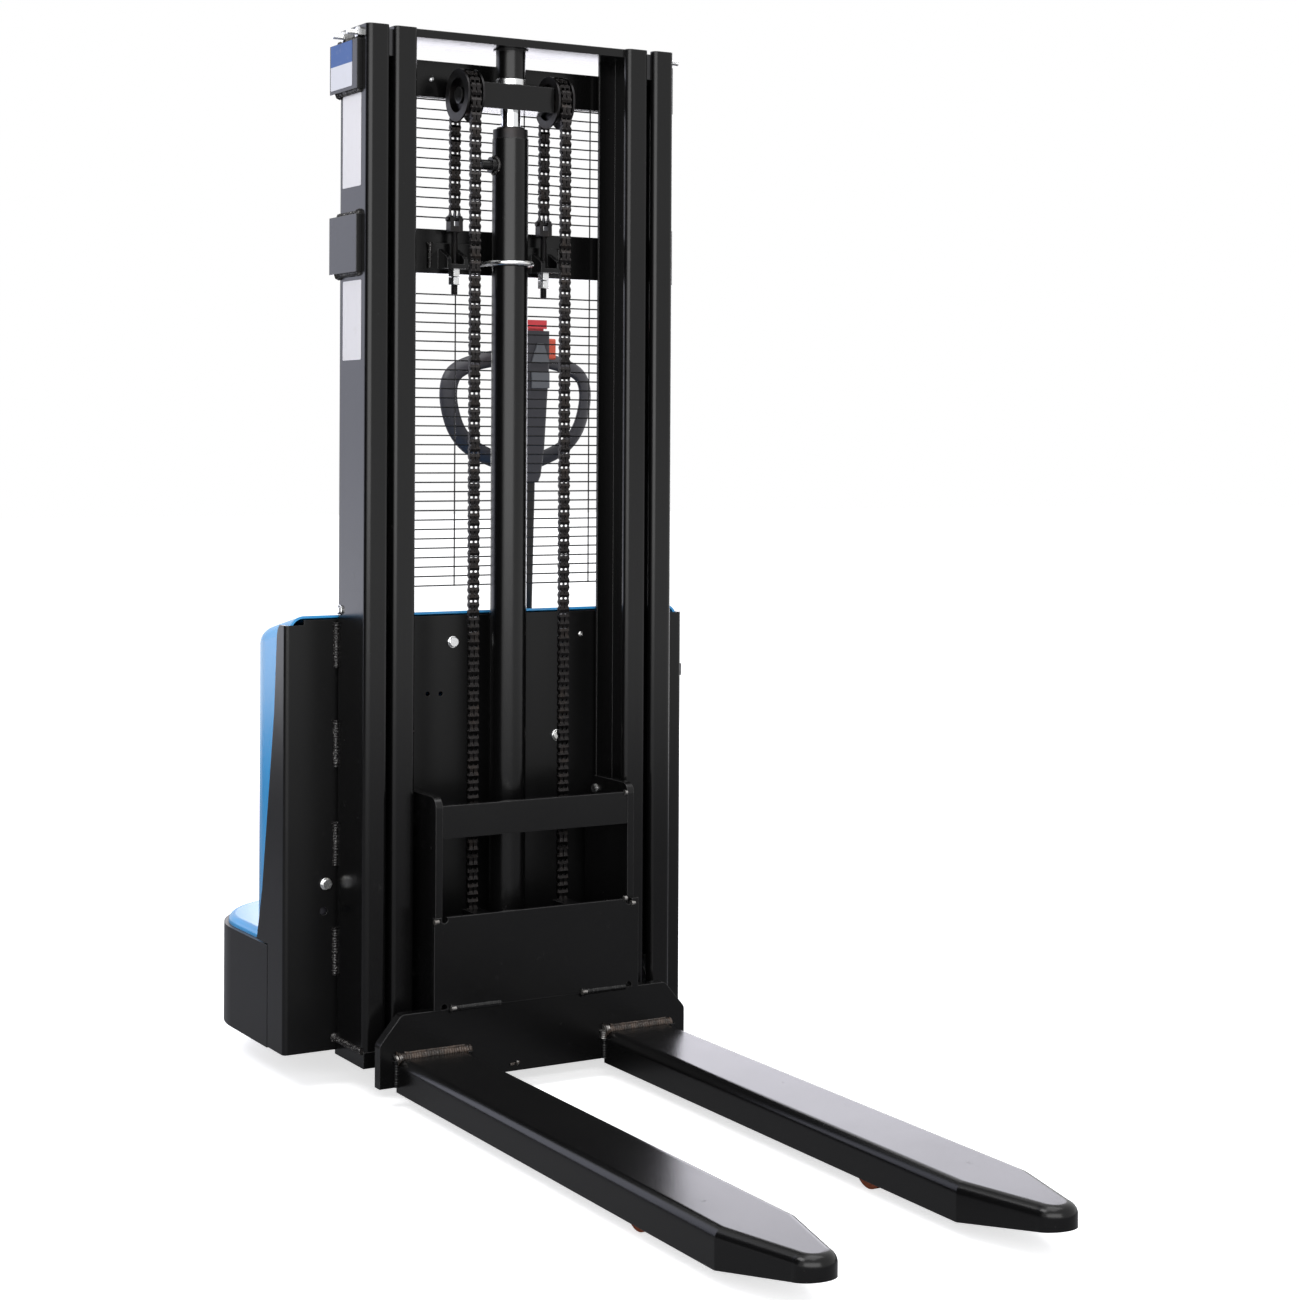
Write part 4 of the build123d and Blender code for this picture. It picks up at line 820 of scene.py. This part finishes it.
section = beads.node("GeometryNodeCurvePrimitiveCircle", None, {"Resolution": 8, "Radius": 1.0})
swept = beads.node("GeometryNodeCurveToMesh", None, {"Curve": close_points, "Profile Curve": section,
                                                     "Scale": swell, "Fill Caps": True})
beads.close(beads.node("GeometryNodeSetShadeSmooth", None, {"Geometry": swept}))
print("weld tree:", len(beads.tree.nodes), "nodes")

# %% Weld finishes
scorched = Finish("heat_tinted_weld", Metallic=0.30)
tint = scorched.band(scorched.noise(70, 3, 0.6), 0.35, 0.65)
straw = scorched.mix(tint, rgb(0.016, 0.012, 0.010), rgb(0.062, 0.042, 0.031))
specks = scorched.band(scorched.noise(520, 4, 0.7), 0.56, 0.68)
ashy = scorched.mix(specks * 0.8, straw, rgb(0.26, 0.25, 0.24))
scorched.shade(Base_Color=ashy, Roughness=scorched.noise(300, 2) * 0.25 + 0.36)
scorched.shade(Normal=scorched.bump(scorched.noise(900, 3), 0.0004, 0.7))

chipped = Finish("chipped_painted_weld", IOR=1.48, Specular_IOR_Level=0.4)
flakes = chipped.band(chipped.noise(330, 5, 0.7), 0.55, 0.66)
soot = chipped.mix(chipped.noise(40, 3, 0.6), rgb(0.004, 0.004, 0.004), rgb(0.020, 0.018, 0.018))
flaked = chipped.mix(flakes * 0.8, soot, rgb(0.330, 0.320, 0.310))
chipped.shade(Base_Color=flaked, Roughness=flakes * 0.25 + 0.24)
chipped.shade(Normal=chipped.bump(chipped.noise(900, 3), 0.0003, 0.5))

# pale bare steel for the bead ends at the heels, and for short runs that are painted glints
bare_weld_and_glint = metal("bare_weld_and_glint_metal", (0.300, 0.290, 0.280), 0.46, 0.10, 0.6, (0.110, 0.095, 0.085))
print("weld finishes:", scorched.material.name, chipped.material.name, bare_weld_and_glint.name)

# %% Weld lines
corner_x, corner_y = 0.2995, 0.4463
foot_z, foot_near, foot_far = 0.083, 0.332, 0.446
bracket_x, bracket_y, bracket_low, bracket_high = 0.1275, 0.4445, 1.405, 1.449
tube_radius, port_radius, port_z = 0.0318, 0.0142, 1.584
heel_x, heel_length, heel_z, joint_z = (-0.2640, 0.1290), 0.1370, 0.0808, 0.1532
edge_from, edge_to, edge_z = 0.014, 0.126, 0.0882
ear_near, ear_far = 0.356, 0.442


def lines_at(y, *lines):
    """Straight runs in the plane at y, each from (x, z) to (x, z)."""
    return [[(x0, y, z0), (x1, y, z1)] for x0, z0, x1, z1 in lines]


plate_runs = [[(side * corner_x, corner_y, z) for z in ends] for side in (-1, 1)
              for ends in ((0.793, 0.715), (0.626, 0.546), (0.452, 0.378), (0.272, 0.190))]
ear_runs = [[(side * corner_x, y0, z), (side * corner_x, y1, z)] for side in (-1, 1)
            for y0, y1, z in ((ear_near, ear_far, 1.7768), (ear_far, ear_near, 1.6922),
                              (ear_near, ear_far, 1.4838), (ear_far, ear_near, 1.3852))]
foot_runs = [[(side * corner_x, y, foot_z) for y in (foot_far, foot_near)] for side in (-1, 1)]
bracket_runs = [[(side * bracket_x, bracket_y, z) for z in (bracket_high, bracket_low)] for side in (-1, 1)]
port_turn = [math.pi * i / 12 for i in range(25)]
port_run = [(-math.sqrt(tube_radius ** 2 - (port_radius * math.cos(a)) ** 2), pulley_y + port_radius * math.cos(a),
             port_z + port_radius * math.sin(a)) for a in port_turn]
joint_runs = lines_at(0.2700, (-0.166, joint_z, -0.073, joint_z), (0.084, joint_z, 0.172, joint_z))
cheek_runs = lines_at(0.2704, *[(x, 0.079, x, 0.034) for x in (-0.2640, -0.1310, 0.1310, 0.2640)])
heel_runs = lines_at(0.2716, *[(x, heel_z, x + heel_length, heel_z) for x in heel_x])
edge_runs = lines_at(0.2722, *[(x + edge_from, edge_z, x + edge_to, edge_z) for x in heel_x])
scar_runs = lines_at(0.2728, (-0.0520, 0.0440, -0.0430, 0.0458), (-0.0400, 0.0440, -0.0340, 0.0480))
end_runs = lines_at(0.2685, (-0.2662, 0.0790, -0.2560, 0.0830), (0.1280, 0.0838, 0.1385, 0.0848))
end_runs += [[(0.1292, 0.2690, 0.0830), (0.1292, 0.2700, 0.0690)]]
# painted glints: short pale runs of bare metal that stand in for bright spots of light on the carriage welds
painted_glint_runs = lines_at(0.2700, (0.1312, 0.0820, 0.1312, 0.0440))
painted_glint_runs += lines_at(0.2672, (-0.1975, 0.3005, -0.1890, 0.3015), (0.1665, 0.3082, 0.1735, 0.3082),
                      (0.1815, 0.2985, 0.1890, 0.2985))
painted_glint_runs += lines_at(0.2765, (0.1725, 0.4910, 0.1775, 0.4910))
painted_glint_runs += lines_at(0.2655, (-0.1670, 0.1540, -0.1570, 0.1540), (0.0830, 0.1540, 0.0930, 0.1540))
painted_glint_runs += lines_at(0.2724, (-0.0400, 0.0462, -0.0370, 0.0470))
print("weld lines:", len(plate_runs + ear_runs + foot_runs), "on the frame,", len(painted_glint_runs), "painted glint dots")

# %% Weld beads
for name, body, runs, radius, ripple, finish, slot in (
        ("frame_weld_beads", "chassis", plate_runs + ear_runs + foot_runs, 0.0052, 0.0046,
         chipped.material, "black_paint"),
        ("bracket_weld_beads", "chassis", bracket_runs + [port_run], 0.0034, 0.0030, chipped.material,
         "black_paint"),
        ("carriage_weld_beads", "carriage", joint_runs + cheek_runs, 0.0052, 0.0044, black_paint, "black_paint"),
        ("pale_weld_ends", "carriage", painted_glint_runs, 0.0030, 0.0024, bare_weld_and_glint, "bare_steel"),
        ("heel_weld_ends", "carriage", end_runs, 0.0056, 0.0034, bare_weld_and_glint, "bare_steel"),
        ("heel_weld_edges", "carriage", edge_runs + scar_runs, 0.0021, 0.0026, scorched.material, "black_paint"),
        ("heel_weld_beads", "carriage", heel_runs, 0.0078, 0.0046, scorched.material, "black_paint")):
    put(beads.grow(name, polyline(name, runs), radius=radius, ripple=ripple, finish=finish), body, slot)

# %% [markdown]
# A bright bow of round wire holds the lift cylinder against the middle cross member, with a nut on each leg.
# The wire tree of the guards draws it as well: its path is two straight legs joined by a half circle.

# %% Cylinder bow
bow_turn = [math.pi + math.pi * i / 24 for i in range(25)]
bow_path = [(-bow_radius, plate_front, bow_z)]
bow_path += [(bow_radius * math.cos(a), pulley_y + bow_radius * math.sin(a), bow_z) for a in bow_turn]
bow_path += [(bow_radius, plate_front, bow_z)]
bow = wires.grow("cylinder_bow", polyline("bow_path", [bow_path]), step=0.003, crimp=0.0, wave=1.0, radius=0.0045,
                 sides=12, finish=zinc)
put(bow, "chassis", "zinc", "cylinder_clamp")

# %% [markdown]
# The back of the cover is out of the photograph, so it only gets what such a moulding needs: hooded slots that
# let the pump motor breathe, a low rib that stiffens the wall, four screws, and a rubber lip where the steered
# drive turns in the lid. A louvre is one section swept along its length with sunken ends, and the fastener tree
# sets it in two columns. The wire tree draws the rib, sunk by half into the wall.

# %% Louvre, outline and ring


def louvre(builder, half, height, depth):
    """Hood on the XY plane that grows towards +Z, with its mouth at +Y."""
    outline = [(0, 1.0), (0.45, 0.93), (0.80, 0.70), (1.0, 0.35), (1.0, 0.12), (0.85, 0.0), (0, 0)]
    sections = []
    for share, swell in ((-1, 0.08), (-0.92, 0.72), (-0.80, 1.0), (0.80, 1.0), (0.92, 0.72), (1, 0.08)):
        section = [(share * half, -height * up, depth * out * swell) for out, up in outline]
        sections.append([builder.verts.new(point) for point in section])
    for first, second in zip(sections, sections[1:]):
        for i in range(len(outline)):
            after = (i + 1) % len(outline)
            builder.faces.new((first[i], first[after], second[after], second[i]))
    builder.faces.new(sections[0])
    builder.faces.new(reversed(sections[-1]))


def rounded_outline(a_span, b_span, corner):
    """Points round a rectangle with round corners."""
    points = []
    for a, b, start in ((a_span[1], b_span[1], 0), (a_span[0], b_span[1], 90), (a_span[0], b_span[0], 180),
                        (a_span[1], b_span[0], 270)):
        centre_a = a - corner if a == a_span[1] else a + corner
        centre_b = b - corner if b == b_span[1] else b + corner
        turns = [math.radians(v) for v in range(start, start + 91, 15)]
        points += [(centre_a + corner * math.cos(t), centre_b + corner * math.sin(t)) for t in turns]
    return points


def turned_ring(name, finish, profile, segments, centre):
    """Smooth turned ring about an upright axis through a point."""
    builder = bmesh.new()
    lathe(builder, profile, segments, Matrix.Translation(centre))
    mesh = mesh_from(builder, name, finish)
    mesh.shade_smooth()
    return mesh


print("cover helpers ready")

# %% Louvres and screws
cover_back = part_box("upper_cover")[1][1]
hood_half, hood_height, hood_depth = 0.046, 0.013, 0.007
hood_x, hood_low, hood_pitch, hood_rows = 0.060, 0.340, 0.024, 7
screw_x, screw_z = 0.238, (0.278, 0.652)
screw_profile = [(0, 0.0), (0.0090, 0.0), (0.0090, 0.0010), (0.0070, 0.0012), (0.0064, 0.0030), (0.0048, 0.0044),
                 (0.0028, 0.0048), (0.0028, 0.0022), (0, 0.0022)]
hood_shape = helper_shape("louvre_shape", (louvre, hood_half, hood_height, hood_depth))
screw_shape = helper_shape("cover_screw_shape", (lathe, screw_profile))
hood_places = [(x, cover_back, hood_low + hood_pitch * i) for x in (-hood_x, hood_x) for i in range(hood_rows)]
screw_places = [(x, cover_back, z) for x in (-screw_x, screw_x) for z in screw_z]
for name, shape, places, finish, slot in (
        ("cover_louvres", hood_shape, hood_places, blue_plastic, "blue_plastic"),
        ("cover_screws", screw_shape, screw_places, zinc, "zinc")):
    row = sets.grow(name, polyline(name, [[place] for place in places]), shape=shape, turn=(-math.pi / 2, 0, 0),
                    finish=finish)
    put(row, "chassis", slot)
    bpy.data.objects.remove(shape)

# %% Cover rib and turret lip
lid_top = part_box("rear_lid")[1][2]
steer_axis = next(joint for joint in frame["joints"] if joint["name"] == "steering")["pos_m"]
rib_half, rib_span, rib_corner = 0.212, (0.285, 0.645), 0.045
lip_profile = [(0.0696, -0.0020), (0.0745, 0.0002), (0.0745, 0.0016), (0.0728, 0.0030), (0.0706, 0.0026),
               (0.0694, 0.0010)]
rib_loop = [(x, cover_back, z) for x, z in rounded_outline((-rib_half, rib_half), rib_span, rib_corner)]
rib = wires.grow("cover_rib", polyline("rib_loop", [rib_loop + rib_loop[:1]]), step=0.008, crimp=0.0, wave=1.0,
                 radius=0.0028, sides=12, finish=blue_plastic)
put(rib, "chassis", "blue_plastic")
lip_centre = (steer_axis[0], steer_axis[1], lid_top)
lip_mesh = turned_ring("turret_lip", black_plastic, lip_profile, 64, lip_centre)
put(placed("turret_lip", lip_mesh), "chassis", "black_plastic")

# %% [markdown]
# The side panels end at an open seam in front of the skirt. A folded lap behind the seam keeps dirt out of
# the drive space and joins the two sheets, so no light falls through. It is a flat strip with a rounded
# outline, a little off the sheet's inner face.

# %% Seam laps
skirt_low, skirt_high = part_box("rear_skirt")
lap_gap, lap_thick, lap_corner = 0.0055, 0.002, 0.005
lap_ahead, lap_behind, lap_height = 0.018, 0.014, (0.066, 0.222)
lap_depth = (skirt_low[1] - lap_ahead, skirt_low[1] + lap_behind)
lap_face = skirt_high[0] - lap_gap
lap_builder = bmesh.new()
for side in (-1, 1):
    lap_outline = rounded_outline(lap_depth, lap_height, lap_corner)
    prism(lap_builder, [(side * lap_face, y, z) for y, z in lap_outline], (-side * lap_thick, 0, 0))
put(placed("seam_laps", mesh_from(lap_builder, "seam_laps", black_sheet)), "chassis", "black_paint")

# %% [markdown]
# Three labels sit on the left side of the mast. They are left blank here: two of plain white film and one
# with a blue upper part. Each is a thin sheet with rounded corners, and its film has a faint grain and
# gathers a little dirt, which the shader draws from noise.

# %% Blank labels


def film(name, upper, lower, split_z):
    vinyl = Finish(name, IOR=1.46, Specular_IOR_Level=0.25)
    height = vinyl.node("SeparateXYZ", None, {0: vinyl.place()}, 2)
    base = vinyl.mix(vinyl.band(height, split_z - 0.0003, split_z + 0.0003), rgb(*lower), rgb(*upper))
    dirt = vinyl.band(vinyl.noise(60, 6, 0.7), 0.52, 0.80)
    vinyl.shade(Base_Color=vinyl.mix(dirt * 0.22, base, rgb(0.42, 0.40, 0.37)))
    vinyl.shade(Roughness=vinyl.noise(9, 3) * 0.12 + 0.30, Normal=vinyl.bump(vinyl.noise(700, 2), 0.00008, 0.2))
    return vinyl.material


white_film = film("blank_white_film", (0.64, 0.63, 0.65), (0.64, 0.63, 0.65), 0.0)
split_film = film("blank_two_tone_film", (0.010, 0.070, 0.260), (0.56, 0.57, 0.62), 1.739)
label_corner, label_thick, ear_side = 0.003, 0.0004, 0.308
for name, x, y_span, z_span, finish in (
        ("upper_rail_label", -mast_side, (0.354, 0.430), (1.531, 1.687), white_film),
        ("lower_rail_label", -mast_side, (0.351, 0.427), (1.239, 1.373), white_film),
        ("ear_label", -ear_side, (0.370, 0.460), (1.699, 1.7755), split_film)):
    sheet = bmesh.new()
    label_outline = rounded_outline(y_span, z_span, label_corner)
    prism(sheet, [(x, y, z) for y, z in label_outline], (-label_thick, 0, 0))
    put(placed(name, mesh_from(sheet, name, finish)), "chassis", "black_paint")

# %% [markdown]
# Three rings finish the lift rod: a bright collar with a bevel where the rod's sleeve meets the crossbar, a blue
# wiper lip on top of the gland, and a dark seal between the gland and its tube. All three are turned.

# %% Rod rings
for name, body, slot, finish, profile in (
        ("sleeve_collar", "inner_mast", "zinc", zinc,
         [(0.0245, 1.7233), (0.0258, 1.7233), (0.0268, 1.7242), (0.0268, 1.7340), (0.0262, 1.7348),
          (0.0245, 1.7348)]),
        ("rod_wiper", "chassis", "blue_plastic", blue_plastic,
         [(0.0182, 1.6438), (0.0246, 1.6438), (0.0246, 1.6462), (0.0212, 1.6486), (0.0190, 1.6490),
          (0.0182, 1.6478)]),
        ("gland_seal", "chassis", "black_plastic", black_plastic,
         [(0.0295, 1.6280), (0.0311, 1.6280), (0.0314, 1.6288), (0.0311, 1.6297), (0.0295, 1.6297)])):
    ring_mesh = turned_ring(name, finish, profile, 48, (0, pulley_y, 0))
    ring_mesh.set_sharp_from_angle(angle=math.radians(35))
    put(placed(name, ring_mesh), body, slot)
